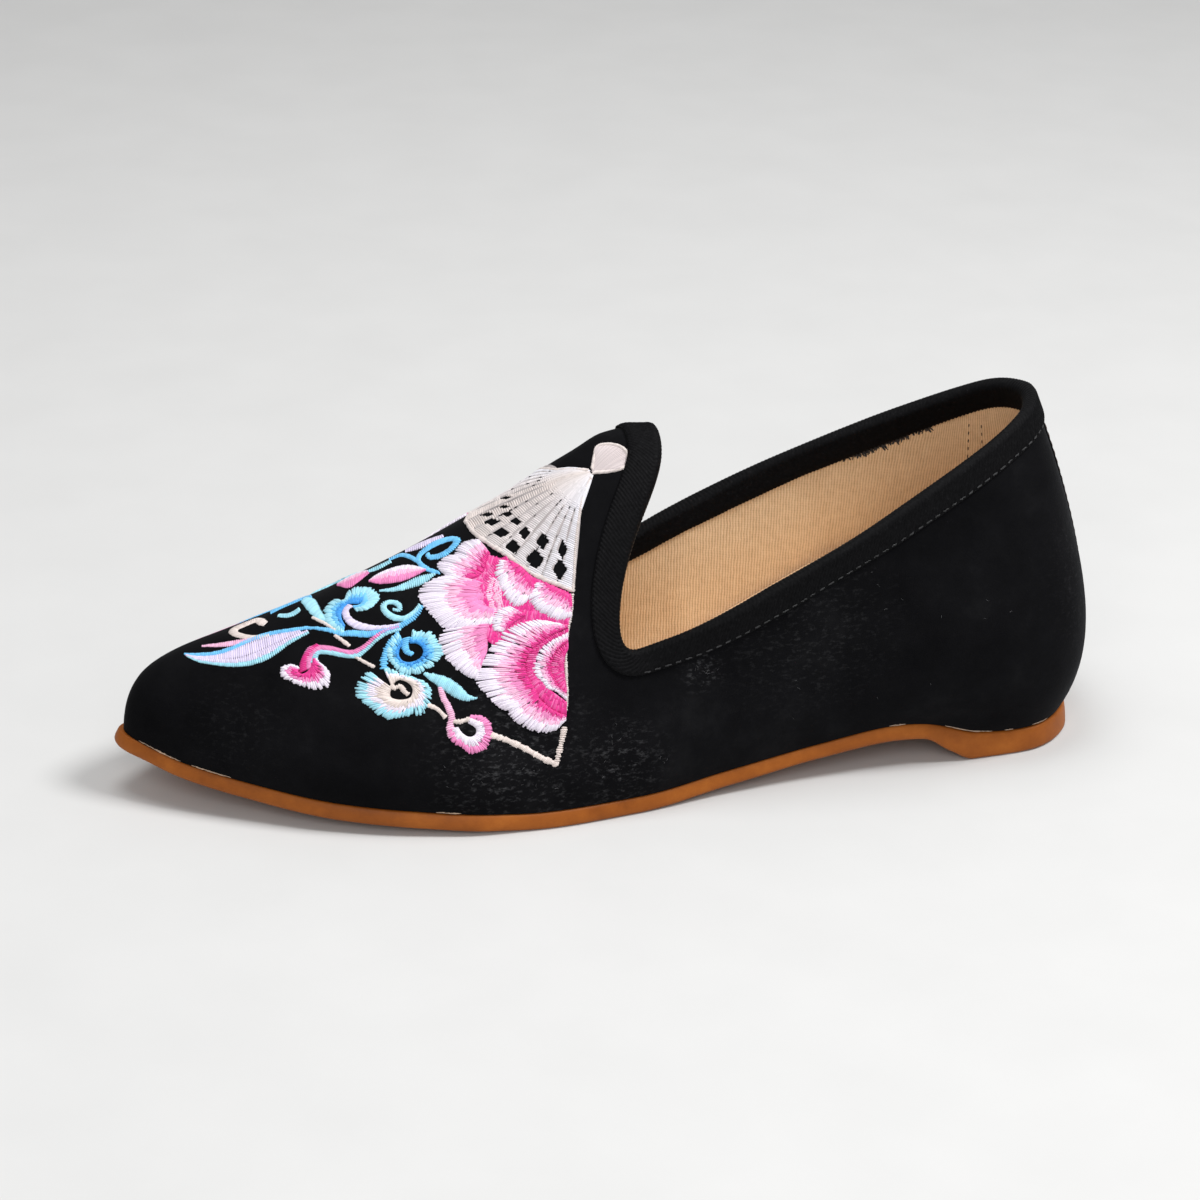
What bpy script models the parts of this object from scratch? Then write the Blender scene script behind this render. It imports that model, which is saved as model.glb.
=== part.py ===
"""Left cloth shoe: rubber sole with a low heel, wedge insole, hollow upper, folded binding.

The toe points to -X, the outer (little toe) side is -Y and the floor is z = 0.
Every surface comes from one plan outline, one crown line and one collar line, so a changed
size carries through the sole, the insole, the upper and the binding together.
"""
import math
from collections import namedtuple

import bmesh
import bpy
from mathutils import Vector
from mathutils.bvhtree import BVHTree

# Driving sizes, in metres
SOLE_LENGTH = 0.252
BALL_OUTER = 0.0433      # half width on the little toe side
BALL_INNER = 0.0372      # half width on the big toe side
SOLE_THICK = 0.0042
HEEL_THICK = 0.0064      # rubber under the heel seat
TOE_SPRING = 0.0128      # underside of the toe tip above the floor
SHANK_RISE = 0.0082      # underside of the waist above the floor
SOLE_DRAFT = 0.0009      # how far the top edge of the rubber is set in
SOLE_EDGE = 0.0011       # rounding of the edge that meets the floor
INSOLE_THICK = 0.0025
INSOLE_EDGE = 0.0008     # rounding of the footbed's edge
INSOLE_DISH = 0.0012     # hollow of the footbed along its middle
WEDGE_RISE = 0.025       # hidden lift of the heel seat
WALL = 0.0018
GAP = 0.0003             # clearance between pieces
FEATHER_INSET = 0.0011   # bottom of the upper, set in from the sole's outline
TAB_HEIGHT = 0.0860      # tip of the vamp's tab above the floor
TAB_TIP = 0.0125         # tab tip behind the middle of the sole
TAB_LENGTH = 0.0240      # from the tab's tip forward to the throat
TAB_SHOULDER = 0.524     # where the tab narrows, as a share of the half width
TAB_BLUNT = 4.0          # higher makes a blunter tab
SEAM_FOOT = -0.0220      # foot of the section below the throat, from the middle of the sole
RIDGE_SHIFT = 0.0040     # crown line towards the big toe side at the instep
THROAT_HEIGHT = 0.0375   # corner where the tab's edge meets the collar
THROAT_ROUND = 40        # smoothing passes that round this corner
BACK_HEIGHT = 0.0912     # top of the heel
HEEL_LEAN = 0.0145       # top of the heel, ahead of the sole's end
COLLAR_HALF = 0.0317     # widest half width of the opening
HEEL_BULGE = 0.0052      # swell of the heel past the sole
SIDE_BULGE = 0.0022      # swell of the sides past the sole
SWELL_HEIGHT = 0.25      # where both are widest, as a share of the wall's height
HEEL_CURVE = 3.0         # how long the heel stays upright before it leans in
SIDE_CURVE = 1.6         # the same for the sides
QUARTER_BLEND = 0.0250   # length over which the vamp's section turns into the side wall
BINDING_LEG = 0.0074     # width of the ribbon on each face
BINDING_THICK = 0.0008

# Places along the sole, from 0 at the toe to 1 at the heel
TOE_POLE = 0.14          # centres of the round toe and heel
HEEL_POLE = 0.872
TOE_FADE = 0.25          # the side swell is full behind this place
RIDGE_START = 0.20       # the crown line leaves the middle here
RIDGE_FULL = 0.42        # and is shifted by RIDGE_SHIFT from here on
WEDGE_START = 0.50
WEDGE_FULL = 0.86
HEEL_START = 0.70        # the side wall turns into the heel between these two
HEEL_FULL = 0.90

# Sole sections: place along the sole, half widths as shares of BALL_OUTER and BALL_INNER,
# toe lift as a share of TOE_SPRING, underside and top of the waist as shares of SHANK_RISE,
# and how much of HEEL_THICK has replaced SOLE_THICK.
Sole = namedtuple("Sole", "along outer inner spring arch waist seat")
SOLE = [
    Sole(0.000, 0.000, 0.000, 1.00, 0.00, 0.00, 0.00),
    Sole(0.020, 0.180, 0.190, 0.89, 0.00, 0.00, 0.00),
    Sole(0.060, 0.360, 0.400, 0.66, 0.00, 0.00, 0.00),
    Sole(0.120, 0.560, 0.640, 0.45, 0.00, 0.00, 0.00),
    Sole(0.200, 0.790, 0.870, 0.25, 0.00, 0.00, 0.00),
    Sole(0.280, 0.935, 0.985, 0.15, 0.00, 0.00, 0.00),
    Sole(0.350, 1.000, 1.000, 0.06, 0.00, 0.00, 0.00),
    Sole(0.400, 0.998, 0.965, 0.00, 0.00, 0.00, 0.00),
    Sole(0.500, 0.925, 0.850, 0.00, 0.00, 0.00, 0.00),
    Sole(0.600, 0.806, 0.760, 0.00, 0.29, 0.28, 0.00),
    Sole(0.700, 0.735, 0.735, 0.00, 0.73, 0.70, 0.00),
    Sole(0.780, 0.708, 0.745, 0.00, 1.00, 1.00, 0.00),
    Sole(0.810, 0.700, 0.750, 0.00, 0.95, 0.92, 0.15),
    Sole(0.840, 0.690, 0.750, 0.00, 0.42, 0.52, 0.60),
    Sole(0.868, 0.678, 0.742, 0.00, 0.00, 0.13, 1.00),
    Sole(0.930, 0.640, 0.700, 0.00, 0.00, 0.00, 1.00),
    Sole(0.980, 0.440, 0.490, 0.00, 0.00, 0.04, 1.00),
    Sole(1.000, 0.000, 0.000, 0.00, 0.00, 0.10, 1.00),
]

# Crown sections: place along the feather line, height of the crown as a share of the tab's
# rise, and the two exponents of the section, n across and m up (2 and 2 make an ellipse).
Crown = namedtuple("Crown", "along rise n m")
CROWN = [
    Crown(0.000, 0.000, 2.2, 2.0),
    Crown(0.020, 0.190, 2.2, 2.0),
    Crown(0.060, 0.290, 2.2, 1.9),
    Crown(0.120, 0.370, 2.2, 1.8),
    Crown(0.200, 0.480, 2.1, 1.6),
    Crown(0.300, 0.630, 2.0, 1.35),
    Crown(0.400, 0.810, 2.0, 1.15),
    Crown(0.480, 0.962, 2.0, 1.05),
    Crown(0.520, 0.995, 2.0, 1.0),
    Crown(0.550, 1.000, 2.0, 1.0),
    Crown(0.700, 1.000, 2.0, 1.0),
    Crown(1.000, 1.000, 2.0, 1.0),
]

# Collar sections: place between the throat and the back of the heel, half width as a share
# of COLLAR_HALF, and height as a share of the climb from the throat to the heel.
Collar = namedtuple("Collar", "along half climb")
COLLAR = [
    Collar(0.000, 0.800, 0.000),
    Collar(0.095, 0.880, 0.028),
    Collar(0.195, 0.960, 0.114),
    Collar(0.295, 1.000, 0.222),
    Collar(0.390, 0.987, 0.330),
    Collar(0.490, 0.945, 0.440),
    Collar(0.595, 0.875, 0.552),
    Collar(0.690, 0.785, 0.660),
    Collar(0.790, 0.670, 0.768),
    Collar(0.890, 0.520, 0.878),
    Collar(0.960, 0.345, 0.958),
    Collar(1.000, 0.000, 1.000),
]

# Colours, as red, green and blue in linear light
RUBBER = (0.42, 0.16, 0.05)
CLOTH = (0.012, 0.012, 0.014)
RIBBON = (0.018, 0.017, 0.020)
FOOTBED = (0.62, 0.42, 0.24)

# Mesh: counts, and exponents that crowd the columns and rows where the surface turns
TOE_COLUMNS = 8
VAMP_COLUMNS = 17
SIDE_COLUMNS = 22
HEEL_COLUMNS = 7
ROWS = 16
WALL_ROWS = 8
FOOT_SPACING = 1.15
TOP_SPACING = 1.45
TAB_SPACING = 1.1
THROAT_REACH = 4         # points each way that the rounding of the throat moves
SEAT_MIDDLE = 0.55       # middle point of each spoke, as a share of its length
SHARP_ANGLE = 40.0       # edges steeper than this are shaded sharp, in degrees
HALVINGS = 40            # passes of each search
SPOKES = (0.17, 0.20, 0.24, 0.28, 0.32, 0.36, 0.40, 0.45, 0.50, 0.54, 0.58, 0.62, 0.66,
          0.70, 0.74, 0.78, 0.795, 0.81, 0.825, 0.84, 0.855, 0.868)

OUTER, INNER = -1, 1


def blend(a, b, t):
    return a + (b - a) * t


def soft_step(t):
    t = min(max(t, 0.0), 1.0)
    return t * t * (3.0 - 2.0 * t)


def end_ease(share):
    """Spacing that makes round ends straight lines, so that tables need few rows there."""
    return math.acos(1.0 - 2.0 * min(max(share, 0.0), 1.0)) / math.pi


def make_reader(table):
    """Monotone cubic curves through every column of a table, read by place and name."""
    places = [end_ease(row.along) for row in table]
    curves = {}
    for name in table[0]._fields[1:]:
        values = [getattr(row, name) for row in table]
        steps = [places[i + 1] - places[i] for i in range(len(places) - 1)]
        slopes = [(values[i + 1] - values[i]) / steps[i] for i in range(len(steps))]
        tangents = [slopes[0]]
        for i in range(1, len(slopes)):
            before, after = slopes[i - 1], slopes[i]
            if before * after <= 0.0:
                tangents.append(0.0)
                continue
            w1 = 2.0 * steps[i] + steps[i - 1]
            w2 = steps[i] + 2.0 * steps[i - 1]
            tangents.append((w1 + w2) / (w1 / before + w2 / after))
        tangents.append(slopes[-1])
        curves[name] = (values, tangents)

    def read(name, share):
        values, tangents = curves[name]
        place = end_ease(share)
        i = 0
        while i < len(places) - 2 and place > places[i + 1]:
            i += 1
        step = places[i + 1] - places[i]
        t = (place - places[i]) / step
        return ((1 + 2 * t) * (1 - t) ** 2 * values[i] + t * (1 - t) ** 2 * step * tangents[i]
                + t * t * (3 - 2 * t) * values[i + 1] + t * t * (t - 1) * step * tangents[i + 1])

    return read


read_sole = make_reader(SOLE)
read_crown = make_reader(CROWN)
read_collar = make_reader(COLLAR)


def sole_share(x):
    return x / SOLE_LENGTH + 0.5


def sole_x(share):
    return (share - 0.5) * SOLE_LENGTH


def outline(side, x, inset=0.0):
    """Half width of the sole's plan at x, drawn in by inset all round."""
    share = (x + 0.5 * SOLE_LENGTH - inset) / (SOLE_LENGTH - 2.0 * inset)
    name, ball = ("outer", BALL_OUTER) if side == OUTER else ("inner", BALL_INNER)
    return read_sole(name, share) * (ball - inset)


def sole_under(x):
    share = sole_share(x)
    return read_sole("spring", share) * TOE_SPRING + read_sole("arch", share) * SHANK_RISE


def sole_top(x):
    share = sole_share(x)
    seat = read_sole("seat", share)
    return (SOLE_THICK + read_sole("spring", share) * TOE_SPRING
            + read_sole("waist", share) * SHANK_RISE + seat * (HEEL_THICK - SOLE_THICK))


def feather_z(x):
    return sole_top(x) + GAP


def feather_half(side, x):
    return outline(side, x, FEATHER_INSET)


def crown_z(x):
    rise = read_crown("rise", (x + 0.5 * SOLE_LENGTH - FEATHER_INSET)
                      / (SOLE_LENGTH - 2.0 * FEATHER_INSET))
    return feather_z(x) + rise * (TAB_HEIGHT - feather_z(TAB_TIP))


def ridge_y(x):
    return RIDGE_SHIFT * soft_step((sole_share(x) - RIDGE_START) / (RIDGE_FULL - RIDGE_START))


def throat_rho():
    """Row of the tab's edge that stands at the height of the throat's corner."""
    low, high = 0.0, 1.0
    for _ in range(HALVINGS):
        rho = 0.5 * (low + high)
        if section_y(OUTER, tab_edge_x(rho), rho)[1] > THROAT_HEIGHT:
            low = rho
        else:
            high = rho
    return 0.5 * (low + high)


def tab_edge_x(rho):
    return TAB_TIP - TAB_LENGTH * (1.0 - math.exp(-(rho / TAB_SHOULDER) ** TAB_BLUNT))


def collar_share(x):
    back = 0.5 * SOLE_LENGTH - HEEL_LEAN
    return (x - THROAT_X) / (back - THROAT_X)


def collar_half(x):
    return read_collar("half", collar_share(x)) * COLLAR_HALF


def collar_z(x):
    share = collar_share(x)
    return THROAT_HEIGHT + read_collar("climb", share) * (BACK_HEIGHT - THROAT_HEIGHT)


def swell(v):
    """Rises from 0 at the feather to 1 at SWELL_HEIGHT and fades to 0 at the top."""
    v = min(max(v, 0.0), 1.0)
    fade = 1.0 / SWELL_HEIGHT - 1.0
    return v * (1.0 - v) ** fade / (SWELL_HEIGHT * (1.0 - SWELL_HEIGHT) ** fade)


def wall_run(x, foot, top, v):
    """Distance of the wall from the spine at share v of its height, from foot to top."""
    heel = soft_step((sole_share(x) - HEEL_START) / (HEEL_FULL - HEEL_START))
    lean = blend(SIDE_CURVE, HEEL_CURVE, heel)
    swollen = blend(SIDE_BULGE, HEEL_BULGE, heel) * swell(v)
    return foot + (top - foot) * max(v, 0.0) ** lean + swollen


def quarter_y(side, x, z):
    """Half width of the side wall at x and height z, between the feather and the collar."""
    low = feather_z(x)
    v = (z - low) / (collar_z(x) - low)
    return wall_run(x, feather_half(side, x), collar_half(x), v)


def section_y(side, x, rho):
    """Signed y and height of the vamp's section, rho being 1 at the feather, 0 at the crown."""
    share = sole_share(x)
    n, m = read_crown("n", share), read_crown("m", share)
    low = feather_z(x)
    q = (1.0 - min(rho, 1.0) ** n) ** (1.0 / m)
    z = low + (crown_z(x) - low) * q
    toe = soft_step(share / TOE_FADE)
    half = feather_half(side, x) * rho + SIDE_BULGE * toe * swell(q)
    return ridge_y(x) * q + side * half, z


THROAT_RHO = throat_rho()
THROAT_X = tab_edge_x(THROAT_RHO)


def last_section_x(rho):
    """The vamp's last section: the tab's edge above the throat, a straight lean below it."""
    if rho <= THROAT_RHO:
        return tab_edge_x(rho)
    return blend(THROAT_X, SEAM_FOOT, (rho - THROAT_RHO) / (1.0 - THROAT_RHO))


def seam_x(z):
    """Where that section stands at height z, below the throat."""
    low = feather_z(SEAM_FOOT)
    climb = min(max((z - low) / (THROAT_HEIGHT - low), 0.0), 1.0)
    return blend(SEAM_FOOT, THROAT_X, climb)


def wall_y(side, x, z):
    """Signed y of the wall at height z: the vamp's section, then the quarter behind the seam."""
    quarter = soft_step((x - seam_x(z)) / QUARTER_BLEND)
    if quarter >= 1.0:
        return side * quarter_y(side, x, z)
    low, high = 0.0, 1.0
    for _ in range(HALVINGS):
        rho = 0.5 * (low + high)
        if section_y(side, x, rho)[1] > z:
            low = rho
        else:
            high = rho
    y = section_y(side, x, 0.5 * (low + high))[0]
    if quarter > 0.0:
        y = blend(y, side * quarter_y(side, x, z), quarter)
    return y


def reach(half_width, base_x, direction):
    """Distance from the pole (base_x, 0) to an outline along a direction in plan."""
    dx, dy = direction
    side = OUTER if dy < 0.0 else INNER
    low, high = 0.0, 0.5 * SOLE_LENGTH
    for _ in range(HALVINGS):
        r = 0.5 * (low + high)
        if half_width(side, base_x + dx * r) > abs(dy) * r:
            low = r
        else:
            high = r
    return 0.5 * (low + high)


def pole_direction(side, turn, facing):
    """Unit direction in plan: turn 0 faces along X (facing is -1 or 1), turn 1 faces sideways."""
    angle = 0.5 * math.pi * turn
    return facing * math.cos(angle), side * math.sin(angle)


def new_material(name, colour, roughness):
    material = bpy.data.materials.new(name)
    material.use_nodes = True
    shader = material.node_tree.nodes["Principled BSDF"]
    shader.inputs["Base Color"].default_value = (*colour, 1.0)
    shader.inputs["Roughness"].default_value = roughness
    shader.inputs["Metallic"].default_value = 0.0
    return material


def new_object(name, points, faces, material):
    mesh = bpy.data.meshes.new(name)
    mesh.from_pydata([tuple(p) for p in points], [], faces)
    work = bmesh.new()
    work.from_mesh(mesh)
    bmesh.ops.recalc_face_normals(work, faces=work.faces)
    work.to_mesh(mesh)
    work.free()
    mesh.shade_smooth()
    mesh.set_sharp_from_angle(angle=math.radians(SHARP_ANGLE))
    mesh.materials.append(material)
    thing = bpy.data.objects.new(name, mesh)
    bpy.context.scene.collection.objects.link(thing)
    return thing


def plan_columns():
    """Spokes round the sole: (base x, direction) from the toe, by the outer side, to the toe."""
    toe, heel = sole_x(TOE_POLE), sole_x(HEEL_POLE)
    half = []
    for side in (OUTER, INNER):
        spokes = [(toe, pole_direction(side, i / TOE_COLUMNS, -1))
                  for i in range(TOE_COLUMNS + 1)]
        spokes += [(sole_x(share), (0.0, float(side))) for share in SPOKES]
        spokes += [(heel, pole_direction(side, 1.0 - i / HEEL_COLUMNS, 1))
                   for i in range(HEEL_COLUMNS + 1)]
        half.append(spokes)
    return half[0] + half[1][-2:0:-1]


def disc_solid(name, columns, profile, material):
    """Closed solid from spokes: each has a profile from bottom centre round to top centre."""
    points, faces, index = [], [], {}

    def add(key, point):
        if key not in index:
            index[key] = len(points)
            points.append(point)
        return index[key]

    loops = []
    for number, (base_x, (dx, dy)) in enumerate(columns):
        rows = profile(base_x, (dx, dy))
        loop = []
        for row, (r, z) in enumerate(rows):
            centre = row in (0, len(rows) - 1)
            key = ("centre", row, round(base_x, 7)) if centre else (number, row)
            loop.append(add(key, (base_x + dx * r, dy * r, z)))
        loops.append(loop)
    for number, loop in enumerate(loops):
        after = loops[(number + 1) % len(loops)]
        for row in range(len(loop) - 1):
            corners = [loop[row], loop[row + 1], after[row + 1], after[row]]
            ring = [c for i, c in enumerate(corners) if c != corners[i - 1]]
            faces.append(ring)
    return new_object(name, points, faces, material)


def seat_profile(base_x, direction):
    """Upper face of the sole along one spoke: (distance, height) from the spine to its edge."""
    foot = reach(lambda side, x: outline(side, x), base_x, direction)
    rim = foot - SOLE_DRAFT
    spots = (0.0, SEAT_MIDDLE * rim, rim)
    return foot, [(r, sole_top(base_x + direction[0] * r)) for r in spots]


def seat_z(rows, r):
    """Height of that face at distance r, on its straight facets."""
    (r0, z0), (r1, z1), (r2, z2) = rows
    if r < r1:
        return blend(z0, z1, (r - r0) / (r1 - r0))
    return blend(z1, z2, (r - r1) / (r2 - r1))


def make_outsole():
    def profile(base_x, direction):
        foot, seat = seat_profile(base_x, direction)

        def under(r):
            return sole_under(base_x + direction[0] * r)

        tread = foot - SOLE_EDGE
        corner = SOLE_EDGE * (1.0 - math.sqrt(0.5))
        return [
            (0.0, under(0.0)),
            (SEAT_MIDDLE * tread, under(SEAT_MIDDLE * tread)),
            (tread, under(tread)),
            (foot - corner, under(foot) + corner),
            (foot, under(foot) + SOLE_EDGE),
            seat[2],
            seat[1],
            seat[0],
        ]

    return disc_solid("outsole", plan_columns(), profile, new_material("rubber", RUBBER, 0.55))


def wedge_z(x):
    """Top of the insole: a thin footbed forward, raised by the wedge towards the heel."""
    climb = soft_step((sole_share(x) - WEDGE_START) / (WEDGE_FULL - WEDGE_START))
    return feather_z(x) + INSOLE_THICK + WEDGE_RISE * climb


def wall_reach(base_x, direction, z):
    """Plan distance from the spine to the outside of the upper at height z."""
    if direction[0] == 0.0:
        side = OUTER if direction[1] < 0.0 else INNER
        return abs(wall_y(side, base_x, z))
    foot = reach(feather_half, base_x, direction)
    if base_x < 0.0:
        return foot
    low = feather_z(base_x)
    top = reach(lambda side, x: collar_half(x), base_x, direction)
    v = (z - low) / (collar_z(base_x + direction[0] * top) - low)
    return wall_run(base_x + direction[0] * foot, foot, top, v)


def make_insole():
    clear = WALL + 2.0 * GAP

    def profile(base_x, direction):
        _, seat = seat_profile(base_x, direction)
        foot = wall_reach(base_x, direction, feather_z(base_x)) - clear
        side_x = base_x + direction[0] * foot
        low = seat_z(seat, foot) + GAP
        level = wedge_z(side_x)
        middle = 0.5 * (low + level)
        mid = wall_reach(base_x, direction, middle) - clear if base_x > 0.0 else foot
        high = wall_reach(base_x, direction, level) - clear if base_x > 0.0 else foot
        bed = SEAT_MIDDLE * high
        dish = INSOLE_DISH * (1.0 - SEAT_MIDDLE ** 2)
        return [
            (0.0, seat_z(seat, 0.0) + GAP),
            (seat[1][0], seat[1][1] + GAP),
            (foot, low),
            (mid, middle),
            (high, level - INSOLE_EDGE),
            (high - INSOLE_EDGE, level),
            (bed, wedge_z(base_x + direction[0] * bed) - dish),
            (0.0, wedge_z(base_x) - INSOLE_DISH),
        ]

    return disc_solid("insole", plan_columns(), profile, new_material(
        "insole_cloth", FOOTBED, 0.9))


def vamp_rows():
    """rho of every row: the feather is 1, the crown 0, closer together above the throat."""
    throat = math.acos(THROAT_RHO)
    rows = []
    for i in range(ROWS + 1):
        if i <= WALL_ROWS:
            angle = throat * i / WALL_ROWS
        else:
            up = (i - WALL_ROWS) / (ROWS - WALL_ROWS)
            angle = blend(throat, 0.5 * math.pi, up ** TAB_SPACING)
        rows.append(math.cos(angle))
    return rows


def upper_grid():
    """Outside points of the upper, keyed so that neighbouring patches share their seams."""
    points, cells = {}, []
    rho = vamp_rows()
    toe, heel = sole_x(TOE_POLE), sole_x(HEEL_POLE)

    def vamp_key(side, j, i):
        if j == 0:
            return ("front", i) if i < ROWS else ("crown", 0)
        if i == ROWS:
            return ("crown", max(j - TOE_COLUMNS, 0))
        return ("vamp", side, j, i)

    for side in (OUTER, INNER):
        for j in range(TOE_COLUMNS + VAMP_COLUMNS + 1):
            for i in range(ROWS + 1):
                if j <= TOE_COLUMNS:
                    dx, dy = pole_direction(side, j / TOE_COLUMNS, -1)
                    r = reach(feather_half, toe, (dx, dy)) * rho[i]
                    x = toe + dx * r
                    half = feather_half(side, x)
                    across = min(abs(dy) * r / half, 1.0) if half > 1e-9 else 0.0
                    if i == 0:
                        across = 1.0
                else:
                    u = (j - TOE_COLUMNS) / VAMP_COLUMNS
                    x = blend(toe, last_section_x(rho[i]), u)
                    across = rho[i]
                y, z = section_y(side, x, across)
                if j == 0 or i == ROWS:
                    y = ridge_y(x) if i == ROWS else 0.0
                points[vamp_key(side, j, i)] = Vector((x, y, z))
        last = TOE_COLUMNS + VAMP_COLUMNS
        for j in range(last):
            for i in range(ROWS):
                ring = [vamp_key(side, j, i), vamp_key(side, j + 1, i),
                        vamp_key(side, j + 1, i + 1), vamp_key(side, j, i + 1)]
                cells.append([k for n, k in enumerate(ring) if k != ring[n - 1]])

    def side_key(side, k, i):
        if k == 0:
            return vamp_key(side, TOE_COLUMNS + VAMP_COLUMNS, i)
        if k == SIDE_COLUMNS + HEEL_COLUMNS:
            return ("back", i)
        return ("side", side, k, i)

    for side in (OUTER, INNER):
        seam = [points[side_key(side, 0, i)] for i in range(WALL_ROWS + 1)]
        climb = [(p.z - seam[0].z) / (seam[-1].z - seam[0].z) for p in seam]
        for k in range(1, SIDE_COLUMNS + HEEL_COLUMNS + 1):
            u = min(k / SIDE_COLUMNS, 1.0)
            foot_x = blend(seam[0].x, heel, u ** FOOT_SPACING)
            top_x = blend(seam[-1].x, heel, u ** TOP_SPACING)
            turn = max(k - SIDE_COLUMNS, 0) / HEEL_COLUMNS
            direction = pole_direction(side, 1.0 - turn, 1)
            for i in range(WALL_ROWS + 1):
                v = climb[i]
                if k <= SIDE_COLUMNS:
                    x = blend(foot_x, top_x, v)
                    z = blend(feather_z(foot_x), collar_z(top_x), v)
                    points[side_key(side, k, i)] = Vector((x, wall_y(side, x, z), z))
                    continue
                foot = reach(feather_half, heel, direction)
                top = reach(lambda s, x: collar_half(x), heel, direction)
                low = feather_z(heel + direction[0] * foot)
                high = collar_z(heel + direction[0] * top)
                r = wall_run(heel + direction[0] * foot, foot, top, v)
                points[side_key(side, k, i)] = Vector((
                    heel + direction[0] * r, direction[1] * r, blend(low, high, v)))
        for k in range(SIDE_COLUMNS + HEEL_COLUMNS):
            for i in range(WALL_ROWS):
                cells.append([side_key(side, k, i), side_key(side, k + 1, i),
                              side_key(side, k + 1, i + 1), side_key(side, k, i + 1)])
    round_throat(points)
    return points, cells


def round_throat(points):
    """Round the corner between the tab's edge and the collar, within the surface's own rows."""
    loop = topline_keys()
    for side_key in [key for key in loop if key[0] == "vamp" and key[-1] == WALL_ROWS]:
        middle = loop.index(side_key)
        for _ in range(THROAT_ROUND):
            spots = {}
            for n in range(middle - THROAT_REACH, middle + THROAT_REACH + 1):
                fade = 1.0 - abs(n - middle) / (THROAT_REACH + 1)
                here, before, after = points[loop[n]], points[loop[n - 1]], points[loop[n + 1]]
                spots[n] = here.lerp(0.5 * (before + after), 0.5 * fade)
            for n, spot in spots.items():
                points[loop[n]] = spot


def surface_mesh(points, cells):
    """Open outside surface with its normals pointing out: positions, normals and faces."""
    index = {key: n for n, key in enumerate(points)}
    work = bmesh.new()
    verts = [work.verts.new(p) for p in points.values()]
    for cell in cells:
        work.faces.new([verts[index[key]] for key in cell])
    bmesh.ops.recalc_face_normals(work, faces=work.faces)
    work.normal_update()
    if verts[index[("crown", VAMP_COLUMNS)]].normal.z < 0.0:
        bmesh.ops.reverse_faces(work, faces=work.faces)
        work.normal_update()
    normals = {key: verts[n].normal.copy() for key, n in index.items()}
    work.verts.index_update()
    faces = [[v.index for v in f.verts] for f in work.faces]
    work.free()
    return normals, faces


def make_upper():
    points, cells = upper_grid()
    normals, faces = surface_mesh(points, cells)
    keys = list(points)
    outside = [points[key] for key in keys]
    inside = []
    for key, point in zip(keys, outside):
        shifted = point - WALL * normals[key]
        if key[-1] == 0 and key[0] != "crown":
            shifted.z = point.z
        inside.append(shifted)
    count = len(outside)
    used = {}
    for face in faces:
        for n, a in enumerate(face):
            b = face[(n + 1) % len(face)]
            used[(a, b)] = used.get((a, b), 0) + 1
    rim = [(a, b) for (a, b) in used if (b, a) not in used]
    shell = [list(face) for face in faces]
    shell += [[a + count for a in reversed(face)] for face in faces]
    shell += [[b, a, a + count, b + count] for a, b in rim]
    upper = new_object("upper", outside + inside, shell, new_material(
        "upper_cloth", CLOTH, 0.85))
    return upper, (keys, outside, inside, faces, normals)


def topline_keys():
    """The collar's edge as one loop of point keys, from the tab tip round and back to it."""
    half = []
    last = TOE_COLUMNS + VAMP_COLUMNS
    for side in (OUTER, INNER):
        run = [("crown", VAMP_COLUMNS)]
        run += [("vamp", side, last, i) for i in range(ROWS - 1, WALL_ROWS - 1, -1)]
        run += [("side", side, k, WALL_ROWS) for k in range(1, SIDE_COLUMNS + HEEL_COLUMNS)]
        run.append(("back", WALL_ROWS))
        half.append(run)
    return half[0] + half[1][-2:0:-1]


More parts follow.
